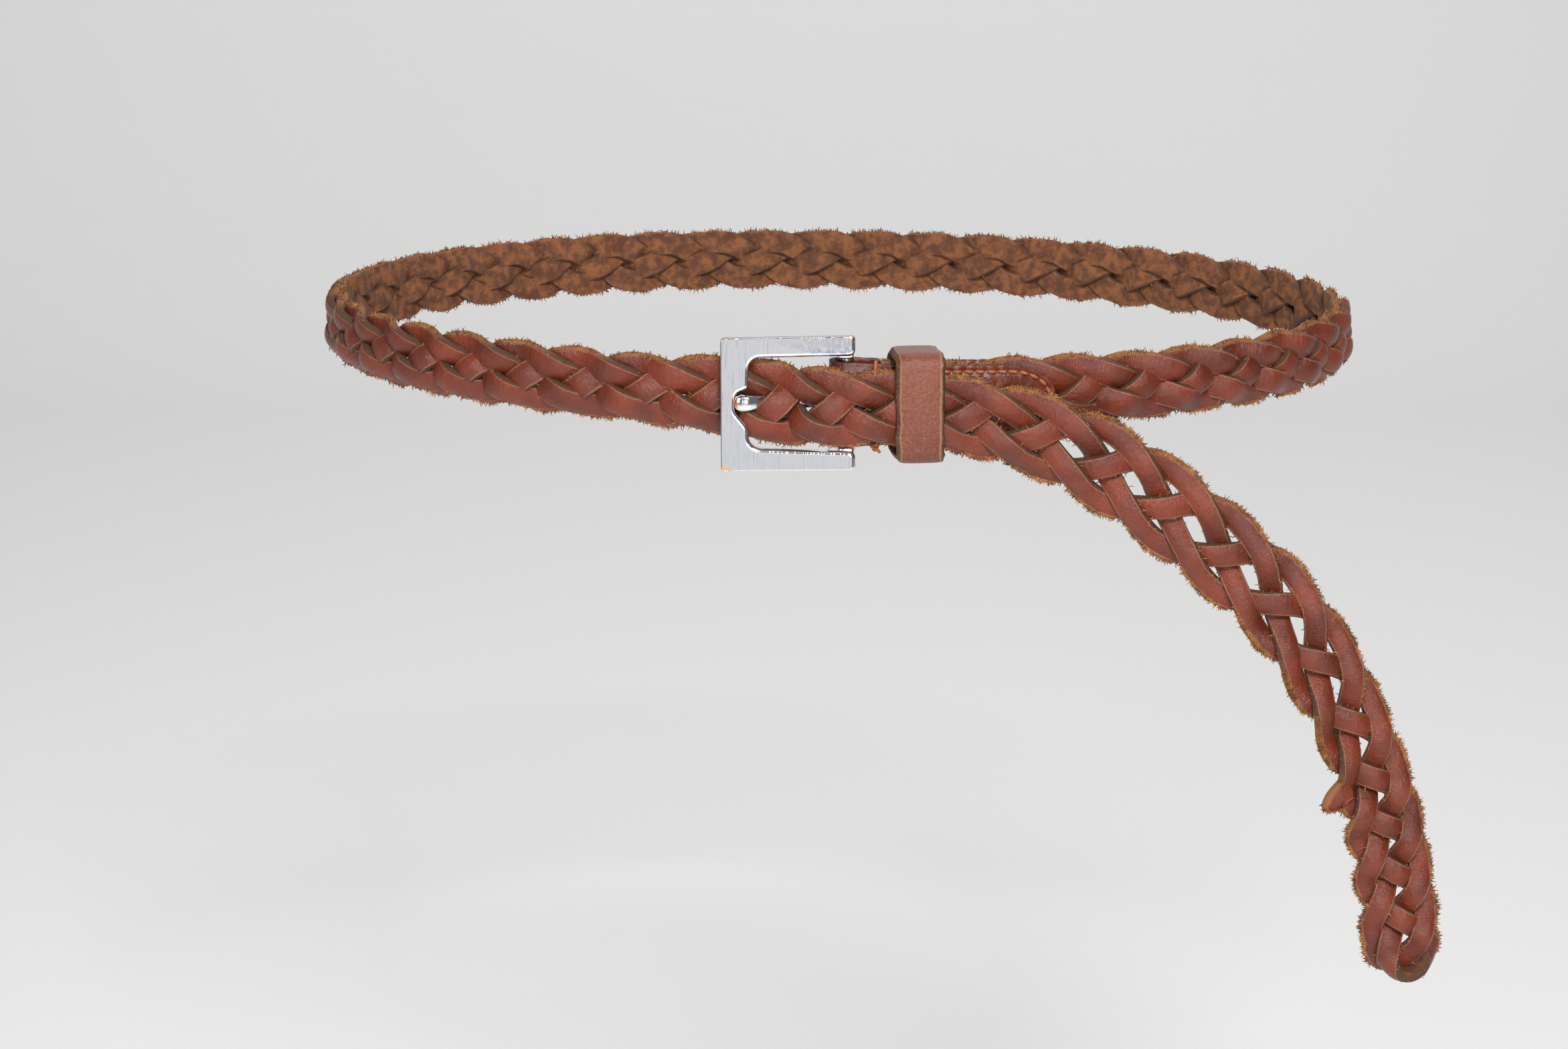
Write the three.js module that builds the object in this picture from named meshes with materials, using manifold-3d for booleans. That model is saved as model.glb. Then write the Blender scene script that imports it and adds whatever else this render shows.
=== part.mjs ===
// A braided leather belt, fastened as worn: two long laces, folded in half at the belt's tip, make a flat braid
// of four strands. A leather tab folded round the buckle's heel bar holds the start of the braid, a square
// metal frame with a prong closes it, and a leather keeper holds the free end, which hangs down.
// Millimetres, +Z up, +X to the right seen from the front, the front of the belt towards -Y, and the origin at
// the centre of the waist that the belt goes round.

import * as THREE from 'three';
import { mergeVertices } from 'three/addons/utils/BufferGeometryUtils.js';
import Module from 'manifold-3d';

const wasm = await Module();
wasm.setup();

// The waist that the belt goes round, measured to the middle of the strap
const waistWidth = 292;
const waistDepth = 208;
const waistLean = 4;
const frontDip = 2.2;
const frontDipAngle = 22;
const sideTilt = 0.7;

// The laces and their braid
const laceWidth = 4.8;
const laceThickness = 1.3;
const loopBraidWidth = 18.8;
const loopPitch = 17.7;
const slowLegShare = 0.62;
const stepsPerRound = 16;

// The free end, from the heel bar to the tip of the braid
const tailLength = 252;
const tailBraidWidth = 24.4;
const tailPitch = 20.7;
const tipLoopLength = 12;

// The buckle
const buckleWidth = 36.2;
const buckleHeight = 35.4;
const buckleCentreX = -15;
const frontBarWidth = 7;
const armWidth = 5.1;
const armEndWidth = 4.3;
const frameThickness = 2.5;
const frameBevel = 0.35;
const windowCornerRadius = 3.5;
const heelBarRadius = 2;
const heelBarInset = 2.4;
const prongWidth = 3;
const prongThickness = 1.9;
const prongOverhang = 3.4;
const prongRestRadius = 3.2;
const prongRestFloor = 0.9;
const prongRingThickness = 1.3;

// The tab and the keeper
const tabLength = 56;
const tabWidth = 22.5;
const tabEndWidth = 17;
const tabThickness = 1.6;
const braidStartInset = 9;
const keeperWidth = 12.6;
const keeperHeight = 29.3;
const keeperThickness = 1.9;
const keeperCentreX = 18.8;
const keeperDrop = 0.45;
const keeperCornerRadius = 3.5;

// Clearances between pieces
const pieceGap = 0.35;
const strapPlay = 0.55;
const slotPlay = 0.8;
const frameStandOff = 2.3;

// The height of a strand over the braid's middle, as waves of its way round the braid, each a length in
// millimetres, and its roll about its own length, as waves in degrees
const liftWaves = [
  { wave: Math.sin, rounds: 1, height: 0.25 },
  { wave: Math.cos, rounds: 2, height: -0.3 },
  { wave: Math.sin, rounds: 3, height: 1.07 },
  { wave: Math.cos, rounds: 4, height: -0.42 },
  { wave: Math.sin, rounds: 5, height: -0.65 },
];
const rollWaves = [
  { wave: Math.cos, rounds: 1, angle: 9 },
  { wave: Math.sin, rounds: 2, angle: -4 },
  { wave: Math.cos, rounds: 3, angle: 8 },
  { wave: Math.sin, rounds: 4, angle: -30 },
];
const braidHalf = 2.8;
const prongCrossing = -0.54;
const prongRoomHeight = 2.3;
const prongRoomReach = 4.2;
const prongPinch = 0.3;

// The free end, as shares of its length, with the angle below level and the turn towards the back of the way
// that it runs, the turn of its face about its own length, its width and pitch as shares of the named ones, and how far the strands stand
// off its middle as a share of their waves
const tailShape = [
  { share: 0, below: 0, back: 1, face: 0, width: 0.86, pitch: 0.85, swell: 1 },
  { share: 0.1, below: 7, back: 5.5, face: 0, width: 0.83, pitch: 0.88, swell: 1 },
  { share: 0.2, below: 20, back: 5.5, face: 0, width: 0.93, pitch: 0.98, swell: 1 },
  { share: 0.29, below: 32, back: 5.5, face: 0, width: 0.98, pitch: 0.95, swell: 1 },
  { share: 0.38, below: 38.5, back: 5.5, face: 0, width: 1, pitch: 1.04, swell: 1 },
  { share: 0.49, below: 43, back: 5.5, face: -4, width: 1, pitch: 0.98, swell: 1 },
  { share: 0.6, below: 57, back: 5.5, face: -10, width: 0.97, pitch: 1, swell: 1 },
  { share: 0.71, below: 66, back: 5.5, face: -14, width: 0.94, pitch: 0.9, swell: 1.06 },
  { share: 0.8, below: 74, back: 5.5, face: -8, width: 0.92, pitch: 0.66, swell: 1.14 },
  { share: 0.9, below: 81, back: 5.5, face: 0, width: 0.9, pitch: 0.68, swell: 1.18 },
  { share: 1, below: 83, back: 5.5, face: 2, width: 0.87, pitch: 0.7, swell: 1.18 },
];
// The braid opens round the prong, in the stretch before the heel bar, as shares of the buckle's width. Room is
// the share of the prong's room by which the crossing strands part there.
const prongOpening = [
  { share: -1.6, width: 0.77, pitch: 1, swell: 1, room: 0 },
  { share: -0.8, width: 0.94, pitch: 1.1, swell: 1, room: 0 },
  { share: -0.6, width: 0.94, pitch: 0.96, swell: 1.3, room: 1 },
  { share: -0.4, width: 0.92, pitch: 0.86, swell: 1.3, room: 1 },
  { share: -0.15, width: 0.88, pitch: 0.86, swell: 1, room: 0 },
  { share: 0, width: 0.86, pitch: 0.92, swell: 1, room: 0 },
];

// Worked out from the sizes above
const degree = Math.PI / 180;
const up = new THREE.Vector3(0, 0, 1);
const halfWidth = waistWidth / 2;
const halfDepth = waistDepth / 2;
const heelBarX = buckleCentreX + buckleWidth / 2 - heelBarInset;
const frontBarX = buckleCentreX - buckleWidth / 2;
const tabInside = braidHalf + strapPlay;
const tabOutside = tabInside + tabThickness;
const tailLift = tabOutside + strapPlay + braidHalf;
const frameBack = braidHalf + frameStandOff;
const spineStep = 1;

function mix(from, to, share) {
  return from + (to - from) * share;
}

function tableValue(table, share, column) {
  const last = table[table.length - 1];
  if (share <= table[0].share) return table[0][column];
  if (share >= last.share) return last[column];
  const next = table.findIndex((row) => row.share > share);
  const before = table[next - 1];
  const after = table[next];
  const part = (share - before.share) / (after.share - before.share);
  return mix(before[column], after[column], part);
}

// A point of the waist loop, at an angle round the waist from the front, lifted outwards from its line
function loopPoint(angle, lift) {
  const outward = new THREE.Vector3(Math.sin(angle) * halfDepth, -Math.cos(angle) * halfWidth, 0).normalize();
  const x = Math.sin(angle) * halfWidth;
  const fromFront = Math.atan2(Math.sin(angle), Math.cos(angle)) / degree / frontDipAngle;
  const height = frontDip * (1 - Math.exp(-fromFront * fromFront)) - Math.tan(sideTilt * degree) * (x - buckleCentreX);
  const point = new THREE.Vector3(x, -Math.cos(angle) * halfDepth, height).addScaledVector(outward, lift);
  const face = outward.multiplyScalar(Math.cos(waistLean * degree)).addScaledVector(up, Math.sin(waistLean * degree));
  return { point, face };
}

function angleAtX(x) {
  return Math.asin(x / halfWidth);
}

// The strap rises from under the front bar in two steps, to run level where the prong comes through it and then
// to pass over the heel bar and the tab
const prongRise = { start: -0.44, end: -0.12, share: 0.5 };
const heelRise = { start: -0.02, end: 0.33 };
function liftAtX(x) {
  const share = (x - buckleCentreX) / buckleWidth;
  const first = THREE.MathUtils.smoothstep(share, prongRise.start, prongRise.end);
  const second = THREE.MathUtils.smoothstep(share, heelRise.start, heelRise.end);
  return tailLift * mix(first * prongRise.share, 1, second);
}

// The middle line of the strap, in small steps from the braid's start to its end, with the way that it runs,
// its face outwards and its edge upwards
function makeSpine() {
  const startAngle = angleAtX(heelBarX + braidStartInset);
  const endAngle = 2 * Math.PI + angleAtX(heelBarX);
  const angleStep = spineStep / halfWidth;
  const stations = [];
  const loopSteps = Math.round((endAngle - startAngle) / angleStep);
  for (let i = 0; i <= loopSteps; i += 1) {
    const angle = mix(startAngle, endAngle, i / loopSteps);
    const secondPass = angle > 1.5 * Math.PI;
    const lift = secondPass ? liftAtX(Math.sin(angle) * halfWidth) : 0;
    stations.push(loopPoint(angle, lift));
  }
  const braidedTail = tailLength - tipLoopLength;
  const tailSteps = Math.round(braidedTail / spineStep);
  const place = stations[stations.length - 1].point.clone();
  for (let i = 1; i <= tailSteps; i += 1) {
    const share = ((i - 0.5) / tailSteps) * (braidedTail / tailLength);
    const below = tableValue(tailShape, share, 'below') * degree;
    const back = tableValue(tailShape, share, 'back') * degree;
    const level = new THREE.Vector3(Math.cos(back), Math.sin(back), 0);
    const way = level.multiplyScalar(Math.cos(below)).addScaledVector(up, -Math.sin(below));
    place.addScaledVector(way, braidedTail / tailSteps);
    const lean = waistLean * Math.max(0, 1 - share / 0.2);
    const face = new THREE.Vector3(Math.sin(back), -Math.cos(back), 0);
    face.applyAxisAngle(way, (tableValue(tailShape, share, 'face')) * degree);
    face.addScaledVector(up, Math.sin(lean * degree));
    stations.push({ point: place.clone(), face });
  }
  const loopEnd = loopSteps;
  stations.forEach((station, i) => {
    const before = stations[Math.max(0, i - 1)].point;
    const after = stations[Math.min(stations.length - 1, i + 1)].point;
    station.way = after.clone().sub(before).normalize();
    station.face.addScaledVector(station.way, -station.face.dot(station.way)).normalize();
    station.edge = station.face.clone().cross(station.way);
    station.along = i === 0 ? 0 : stations[i - 1].along + station.point.distanceTo(stations[i - 1].point);
  });
  const heelAlong = stations[loopEnd].along;
  stations.forEach((station) => {
    const fromHeel = station.along - heelAlong;
    station.fromHeel = fromHeel;
    const tailShare = fromHeel / tailLength;
    const openingShare = fromHeel / buckleWidth;
    const tailWidth = tailBraidWidth * tableValue(tailShape, tailShare, 'width');
    const openWidth = tailBraidWidth * tableValue(prongOpening, openingShare, 'width');
    const loopPart = THREE.MathUtils.smoothstep(openingShare, prongOpening[0].share - 0.6, prongOpening[0].share);
    const braidWidth = fromHeel > 0 ? tailWidth : mix(loopBraidWidth, openWidth, loopPart);
    station.spread = (braidWidth - laceWidth) / 2;
    station.swell = tableValue(prongOpening, openingShare, 'swell') * tableValue(tailShape, tailShare, 'swell');
    station.room = tableValue(prongOpening, openingShare, 'room');
    station.pitch = fromHeel > 0 ? tailPitch * tableValue(tailShape, tailShare, 'pitch')
      : loopPitch * tableValue(prongOpening, openingShare, 'pitch');
  });
  return stations;
}

// A strand goes round the braid once every four pitches: slowly across the front of the two outer rows, then
// quickly back over the middle row. Its rounds are counted back from the tip, where the first strand has just
// crossed its neighbour at the upper edge.
const roundsAtTip = 0.25 * slowLegShare;
function roundAngle(rounds) {
  const whole = Math.floor(rounds);
  const part = rounds - whole;
  const slow = part < slowLegShare;
  const angle = slow ? Math.PI * part / slowLegShare : Math.PI * (1 + (part - slowLegShare) / (1 - slowLegShare));
  return 2 * Math.PI * whole + angle;
}
function roundsAt(angle) {
  const whole = Math.floor(angle / (2 * Math.PI) + 1e-9);
  const part = angle - 2 * Math.PI * whole;
  const slow = part < Math.PI;
  return whole + (slow ? slowLegShare * part / Math.PI : slowLegShare + (1 - slowLegShare) * (part / Math.PI - 1));
}

// The prong comes through where two strands cross on the middle line. The pitch between there and the tip is
// stretched a little, so that the braid ends with the strands in the same places whatever its length.
const spine = makeSpine();
const roundsAtCrossing = slowLegShare + 0.5 * (1 - slowLegShare);
const crossing = spine.findIndex((station) => station.fromHeel >= prongCrossing * buckleWidth);
let roundsToTip = 0;
for (let i = crossing + 1; i < spine.length; i += 1) {
  roundsToTip += (spine[i].along - spine[i - 1].along) / (4 * spine[i].pitch);
}
const spareRounds = roundsAtCrossing - roundsAtTip;
const wholeRoundsToTip = Math.round(4 * (roundsToTip + spareRounds)) / 4 - spareRounds;
const pitchStretch = roundsToTip / wholeRoundsToTip;
for (let i = spine.length - 1, rounds = roundsAtTip; i >= 0; i -= 1) {
  spine[i].rounds = rounds;
  const stretch = i > crossing ? pitchStretch : 1;
  if (i > 0) rounds -= (spine[i].along - spine[i - 1].along) / (4 * spine[i].pitch * stretch);
}

function sumOfWaves(waves, angle, column) {
  return waves.reduce((sum, row) => sum + row[column] * row.wave(row.rounds * angle), 0);
}

function spineWhereRounds(rounds) {
  let low = 0;
  let high = spine.length - 1;
  while (high - low > 1) {
    const middle = (low + high) >> 1;
    if (spine[middle].rounds > rounds) high = middle;
    else low = middle;
  }
  const from = spine[low];
  const to = spine[high];
  const part = THREE.MathUtils.clamp((rounds - from.rounds) / (to.rounds - from.rounds), 0, 1);
  return {
    point: from.point.clone().lerp(to.point, part),
    face: from.face.clone().lerp(to.face, part).normalize(),
    edge: from.edge.clone().lerp(to.edge, part).normalize(),
    way: from.way.clone().lerp(to.way, part).normalize(),
    spread: mix(from.spread, to.spread, part),
    swell: mix(from.swell, to.swell, part),
    room: mix(from.room, to.room, part),
  };
}

// One strand's middle line, from the braid's start to its end at the tip
function strandLine(strand) {
  const shift = strand / 4;
  const first = roundAngle(spine[0].rounds + shift);
  const last = roundAngle(spine[spine.length - 1].rounds + shift);
  const step = 2 * Math.PI / stepsPerRound;
  const angles = [first];
  for (let j = Math.ceil(first / step + 0.4); j * step < last - 0.4 * step; j += 1) angles.push(j * step);
  angles.push(last);
  return angles.map((angle) => {
    const at = spineWhereRounds(roundsAt(angle) - shift);
    const across = at.spread * Math.cos(angle);
    const over = Math.sin(angle) < 0 ? 1 : -1;
    const room = over * at.room * prongRoomHeight * Math.exp(-((across / prongRoomReach) ** 2));
    const out = at.swell * sumOfWaves(liftWaves, angle, 'height') + room;
    const point = at.point.addScaledVector(at.edge, across).addScaledVector(at.face, out);
    const width = laceWidth * (1 - prongPinch * at.room);
    return { point, face: at.face, roll: sumOfWaves(rollWaves, angle, 'angle'), width };
  });
}

// At the tip each lace turns back. Rows give the way along the belt past the braid's end as shares of the tip
// loop's length, across as shares of the braid's half spread, out in lace thicknesses, and the roll in degrees.
const tipTurns = {
  outer: [
    { along: 0.3, across: 1.2, out: -1.1, roll: -15 },
    { along: 0.62, across: 1.1, out: -0.7, roll: -60 },
    { along: 0.86, across: 0.65, out: -0.2, roll: -85 },
    { along: 0.95, across: 0.1, out: 0, roll: -88 },
    { along: 0.86, across: -0.4, out: 0.3, roll: -70 },
    { along: 0.55, across: -0.62, out: 0.9, roll: -30 },
    { along: 0.25, across: -0.6, out: 0.9, roll: -5 },
  ],
  inner: [
    { along: 0.22, across: 0.5, out: 0.7, roll: 0 },
    { along: 0.42, across: 0.05, out: -0.5, roll: 0 },
    { along: 0.5, across: -0.4, out: -1.6, roll: 0 },
    { along: 0.42, across: -0.85, out: -1.7, roll: 0 },
    { along: 0.2, across: -1.05, out: -1, roll: 0 },
  ],
};

function tipTurn(rows) {
  const end = spine[spine.length - 1];
  return rows.map((row) => ({
    point: end.point.clone()
      .addScaledVector(end.way, row.along * tipLoopLength)
      .addScaledVector(end.edge, row.across * end.spread)
      .addScaledVector(end.face, row.out * laceThickness),
    face: end.face,
    roll: row.roll,
    width: laceWidth,
  }));
}

// A closed solid through rings of points, all with the same count, its two ends closed by fans, whichever way
// round the rings go
function solidThroughRings(rings) {
  const count = rings[0].length;
  const positions = rings.flat().flatMap((point) => [point.x, point.y, point.z]);
  const faces = [];
  for (let ring = 0; ring + 1 < rings.length; ring += 1) {
    for (let side = 0; side < count; side += 1) {
      const a = ring * count + side;
      const b = ring * count + ((side + 1) % count);
      faces.push(a, b, b + count, a, b + count, a + count);
    }
  }
  const lastRing = (rings.length - 1) * count;
  for (let side = 1; side + 1 < count; side += 1) {
    faces.push(0, side + 1, side, lastRing, lastRing + side, lastRing + side + 1);
  }
  const first = new THREE.Vector3().subVectors(rings[1][0], rings[0][0]);
  const turn = new THREE.Vector3().subVectors(rings[1][1], rings[1][0])
    .cross(new THREE.Vector3().subVectors(rings[1][2], rings[1][1]));
  if (first.dot(turn) < 0) faces.reverse();
  const geometry = new THREE.BufferGeometry();
  geometry.setAttribute('position', new THREE.Float32BufferAttribute(positions, 3));
  geometry.setIndex(faces);
  return geometry;
}

// A flat band along stations that hold a point, the way its grain side faces, its roll about its own length and
// its width
function bandRings(stations, thickness) {
  return stations.map((station, i) => {
    const before = stations[Math.max(0, i - 1)].point;
    const after = stations[Math.min(stations.length - 1, i + 1)].point;
    const arriving = station.point.clone().sub(before).normalize();
    const leaving = after.clone().sub(station.point).normalize();
    const way = arriving.add(leaving).normalize();
    const face = station.face.clone().addScaledVector(way, -station.face.dot(way)).normalize();
    const side = face.clone().cross(way);
    const roll = (station.roll ?? 0) * degree;
    const grain = face.clone().multiplyScalar(Math.cos(roll)).addScaledVector(side, -Math.sin(roll));
    const reach = grain.clone().cross(way).multiplyScalar(station.width / 2);
    const depth = grain.multiplyScalar(thickness / 2);
    return [
      station.point.clone().add(reach).add(depth),
      station.point.clone().sub(reach).add(depth),
      station.point.clone().sub(reach).sub(depth),
      station.point.clone().add(reach).sub(depth),
    ];
  });
}

// A lace runs along one strand to the tip, turns there and comes back along another, where its roll changes
// sign because it runs the other way
function laceGeometry(outStrand, turnRows, backStrand) {
  const back = strandLine(backStrand).reverse().map((station) => ({ ...station, roll: -station.roll }));
  const stations = [...strandLine(outStrand), ...tipTurn(turnRows), ...back];
  return solidThroughRings(bandRings(stations, laceThickness));
}

function toManifold(geometry) {
  const plain = geometry.clone();
  plain.deleteAttribute('normal');
  plain.deleteAttribute('uv');
  const merged = mergeVertices(plain, 1e-4);
  const mesh = new wasm.Mesh({
    numProp: 3,
    vertProperties: new Float32Array(merged.attributes.position.array),
    triVerts: new Uint32Array(merged.index.array),
  });
  return new wasm.Manifold(mesh);
}

function toGeometry(solid) {
  const mesh = solid.getMesh();
  const geometry = new THREE.BufferGeometry();
  geometry.setAttribute('position', new THREE.Float32BufferAttribute(mesh.vertProperties, 3));
  geometry.setIndex(new THREE.Uint32BufferAttribute(mesh.triVerts, 1));
  return geometry;
}

function named(name, geometry, material) {
  geometry.computeVertexNormals();
  const mesh = new THREE.Mesh(geometry, material);
  mesh.name = name;
  return mesh;
}

// The place and turn of a group whose local axes are the way along the belt, its edge and its face at one X
function frameAtX(x) {
  const angle = angleAtX(x);
  const { point, face } = loopPoint(angle, 0);
  const way = new THREE.Vector3(Math.cos(angle) * halfWidth, Math.sin(angle) * halfDepth, 0).normalize();
  face.addScaledVector(way, -face.dot(way)).normalize();
  const edge = face.clone().cross(way);
  return new THREE.Matrix4().makeBasis(way, edge, face).setPosition(point);
}
const buckleFrame = frameAtX(buckleCentreX);
const heelInBuckle = loopPoint(angleAtX(heelBarX), 0).point.applyMatrix4(buckleFrame.clone().invert());

// The buckle is one casting: a flat front open at the heel end, two lugs turned back from its arms, and the
// heel bar between them
function buckleFrameGeometry() {
  const left = -buckleWidth / 2 + frameBevel;
  const right = buckleWidth / 2 - frameBevel;
  const top = buckleHeight / 2 - frameBevel;
  const barInside = -buckleWidth / 2 + frontBarWidth + frameBevel;
  const armInside = buckleHeight / 2 - armWidth + frameBevel;
  const armEndInside = buckleHeight / 2 - armEndWidth + frameBevel;
  const outline = new THREE.Shape();
  outline.moveTo(left, -top);
  outline.lineTo(right, -top);
  outline.lineTo(right, -armEndInside);
  outline.lineTo(barInside + windowCornerRadius, -armInside);
  outline.absarc(barInside + windowCornerRadius, -armInside + windowCornerRadius, windowCornerRadius,
    -Math.PI / 2, -Math.PI, true);
  outline.lineTo(barInside, armInside - windowCornerRadius);
  outline.absarc(barInside + windowCornerRadius, armInside - windowCornerRadius, windowCornerRadius,
    Math.PI, Math.PI / 2, true);
  outline.lineTo(right, armEndInside);
  outline.lineTo(right, top);
  outline.lineTo(left, top);
  outline.closePath();
  const front = new THREE.ExtrudeGeometry(outline, {
    depth: frameThickness - 2 * frameBevel,
    bevelThickness: frameBevel,
    bevelSize: frameBevel,
    bevelSegments: 1,
    curveSegments: 5,
  });
  front.translate(0, 0, frameBack + frameBevel);
  let solid = toManifold(front);

  const lugWidth = 2 * heelBarInset - 0.4;
  const lugBottom = heelInBuckle.z - heelBarRadius;
  const lugTop = frameBack + frameThickness / 2;
  for (const side of [-1, 1]) {
    const lug = new THREE.BoxGeometry(lugWidth, armEndWidth - frameBevel, lugTop - lugBottom);
    lug.translate(heelInBuckle.x, side * (buckleHeight - armEndWidth) / 2, (lugTop + lugBottom) / 2);
    solid = solid.add(toManifold(lug));
  }
  const bar = new THREE.CylinderGeometry(heelBarRadius, heelBarRadius, buckleHeight - armEndWidth, 16);
  bar.translate(heelInBuckle.x, 0, heelInBuckle.z);
  solid = solid.add(toManifold(bar));

  const restX = -buckleWidth / 2 + frontBarWidth - prongRestRadius * 0.7;
  const restDepth = frameThickness;
  const round = new THREE.CylinderGeometry(prongRestRadius, prongRestRadius, restDepth, 20);
  round.rotateX(Math.PI / 2);
  round.translate(restX, 0, frameBack + prongRestFloor + restDepth / 2);
  const open = new THREE.BoxGeometry(frontBarWidth, 2 * prongRestRadius, restDepth);
  open.translate(restX + frontBarWidth / 2, 0, frameBack + prongRestFloor + restDepth / 2);
  solid = solid.subtract(toManifold(round)).subtract(toManifold(open));
  return toGeometry(solid);
}

// The prong's middle line seen from above: from the ring's outside, low under the braid, then up to its rest
const prongRingRadius = heelBarRadius + pieceGap + prongRingThickness;
const prongTipX = -buckleWidth / 2 + prongOverhang;
const prongRestTop = frameBack + prongRestFloor + pieceGap + prongThickness / 2;
const prongHeights = [
  { share: 0, height: 0 },
  { share: 0.3, height: 0.25 },
  { share: 0.6, height: 0.36 },
  { share: 0.72, height: 0.43 },
  { share: 0.8, height: 0.78 },
  { share: 0.87, height: 1.03 },
  { share: 1, height: 1 },
];
function prongGeometry() {
  const rootHeight = heelInBuckle.z + heelBarRadius + pieceGap + prongThickness / 2;
  const reach = heelInBuckle.x - prongTipX;
  const sides = 10;
  const tipRounding = prongWidth / 2;
  const centre = new THREE.CatmullRomCurve3(prongHeights.map((row) => new THREE.Vector3(
    heelInBuckle.x - row.share * reach, 0, mix(rootHeight, prongRestTop, row.height),
  )));
  const samples = 16;
  const shares = Array.from({ length: samples }, (unused, i) => i / samples);
  for (const part of [0.4, 0.75, 0.95]) shares.push(1 - (1 - part) * tipRounding / reach);
  shares.sort((a, b) => a - b);
  const rings = shares.map((share) => {
    const place = centre.getPointAt(share);
    const way = centre.getTangentAt(share);
    const normal = new THREE.Vector3(-way.z, 0, way.x).multiplyScalar(-1);
    const fromTip = (1 - share) * reach;
    const round = fromTip < tipRounding ? Math.sqrt(1 - (1 - fromTip / tipRounding) ** 2) : 1;
    return Array.from({ length: sides }, (unused, side) => {
      const angle = (side + 0.5) / sides * 2 * Math.PI;
      const across = Math.cos(angle) * prongWidth / 2 * round;
      const out = Math.sin(angle) * prongThickness / 2 * (0.4 + 0.6 * round);
      return place.clone().add(new THREE.Vector3(0, across, 0)).addScaledVector(normal, out);
    });
  });
  const shank = toManifold(solidThroughRings(rings));
  const ringOutline = new THREE.Shape();
  ringOutline.absarc(0, 0, prongRingRadius, 0, 2 * Math.PI);
  const ringHole = new THREE.Path();
  ringHole.absarc(0, 0, heelBarRadius + pieceGap, 0, 2 * Math.PI);
  ringOutline.holes.push(ringHole);
  const ring = new THREE.ExtrudeGeometry(ringOutline, { depth: prongWidth, bevelEnabled: false, curveSegments: 10 });
  ring.translate(0, 0, -prongWidth / 2);
  ring.rotateX(Math.PI / 2);
  ring.translate(heelInBuckle.x, 0, heelInBuckle.z);
  const bore = new THREE.CylinderGeometry(heelBarRadius + pieceGap, heelBarRadius + pieceGap, 2 * prongWidth, 20);
  bore.translate(heelInBuckle.x, 0, heelInBuckle.z);
  return toGeometry(shank.subtract(toManifold(bore)).add(toManifold(ring)));
}

// The tab is one strip folded round the heel bar: its back layer, its bend, and its front layer, both ends round
function tabGeometry() {
  const layer = tabInside + tabThickness / 2;
  const lengthSteps = 9;
  const bendSteps = 8;
  const roundEnd = 7;
  const heelAngle = angleAtX(heelBarX);
  const shares = Array.from({ length: lengthSteps + 1 }, (unused, i) => i / lengthSteps * (1 - roundEnd / tabLength));
  for (const part of [0.5, 0.8, 0.96]) shares.push(1 - (1 - part) * roundEnd / tabLength);
  const layerStations = (lift) => shares.map((share) => {
    const { point, face } = loopPoint(heelAngle + share * tabLength / halfWidth, lift);
    const fromEnd = (1 - share) * tabLength;
    const straight = mix(tabWidth, tabEndWidth, share);
    const round = fromEnd < roundEnd ? Math.sqrt(1 - (1 - fromEnd / roundEnd) ** 2) : 1;
    return { point, face: lift > 0 ? face : face.multiplyScalar(-1), width: straight * round };
  });
  const centre = loopPoint(heelAngle, 0);
  const wayBack = new THREE.Vector3(-Math.cos(heelAngle) * halfWidth, -Math.sin(heelAngle) * halfDepth, 0).normalize();
  const bend = Array.from({ length: bendSteps - 1 }, (unused, i) => {
    const angle = (i + 1) / bendSteps * Math.PI;
    const radial = centre.face.clone().multiplyScalar(-Math.cos(angle)).addScaledVector(wayBack, Math.sin(angle));
    return { point: centre.point.clone().addScaledVector(radial, layer), face: radial, width: tabWidth };
  });
  const stations = [...layerStations(-layer).reverse(), ...bend, ...layerStations(layer)];
  const strip = toManifold(solidThroughRings(bandRings(stations, tabThickness)));
  const slotLength = 2 * (prongRingRadius + slotPlay);
  const slot = new THREE.BoxGeometry(slotLength + 2 * tabOutside, prongWidth + 2 * slotPlay, slotLength + 2 * tabOutside);
  slot.translate(heelInBuckle.x - tabOutside + slotPlay, 0, heelInBuckle.z);
  slot.applyMatrix4(buckleFrame);
  return toGeometry(strip.subtract(toManifold(slot)));
}

// The keeper is a closed leather loop round the tab and the free end
function keeperGeometry() {
  const low = -(tabOutside + pieceGap + keeperThickness);
  const high = tailLift + braidHalf + pieceGap + keeperThickness;
  const ringShape = (inset) => {
    const radius = keeperCornerRadius - inset;
    const x = keeperHeight / 2 - inset - radius;
    const outline = new THREE.Shape();
    outline.absarc(x, low + inset + radius, radius, -Math.PI / 2, 0);
    outline.absarc(x, high - inset - radius, radius, 0, Math.PI / 2);
    outline.absarc(-x, high - inset - radius, radius, Math.PI / 2, Math.PI);
    outline.absarc(-x, low + inset + radius, radius, Math.PI, 1.5 * Math.PI);
    outline.closePath();
    return outline;
  };
  const outline = ringShape(0);
  outline.holes.push(ringShape(keeperThickness));
  const loop = new THREE.ExtrudeGeometry(outline, { depth: keeperWidth, bevelEnabled: false, curveSegments: 5 });
  loop.translate(0, 0, -keeperWidth / 2);
  const turned = new THREE.Matrix4().makeBasis(
    new THREE.Vector3(0, 1, 0), new THREE.Vector3(0, 0, 1), new THREE.Vector3(1, 0, 0),
  );
  loop.applyMatrix4(turned);
  loop.translate(0, -keeperDrop, 0);
  return loop;
}

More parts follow.
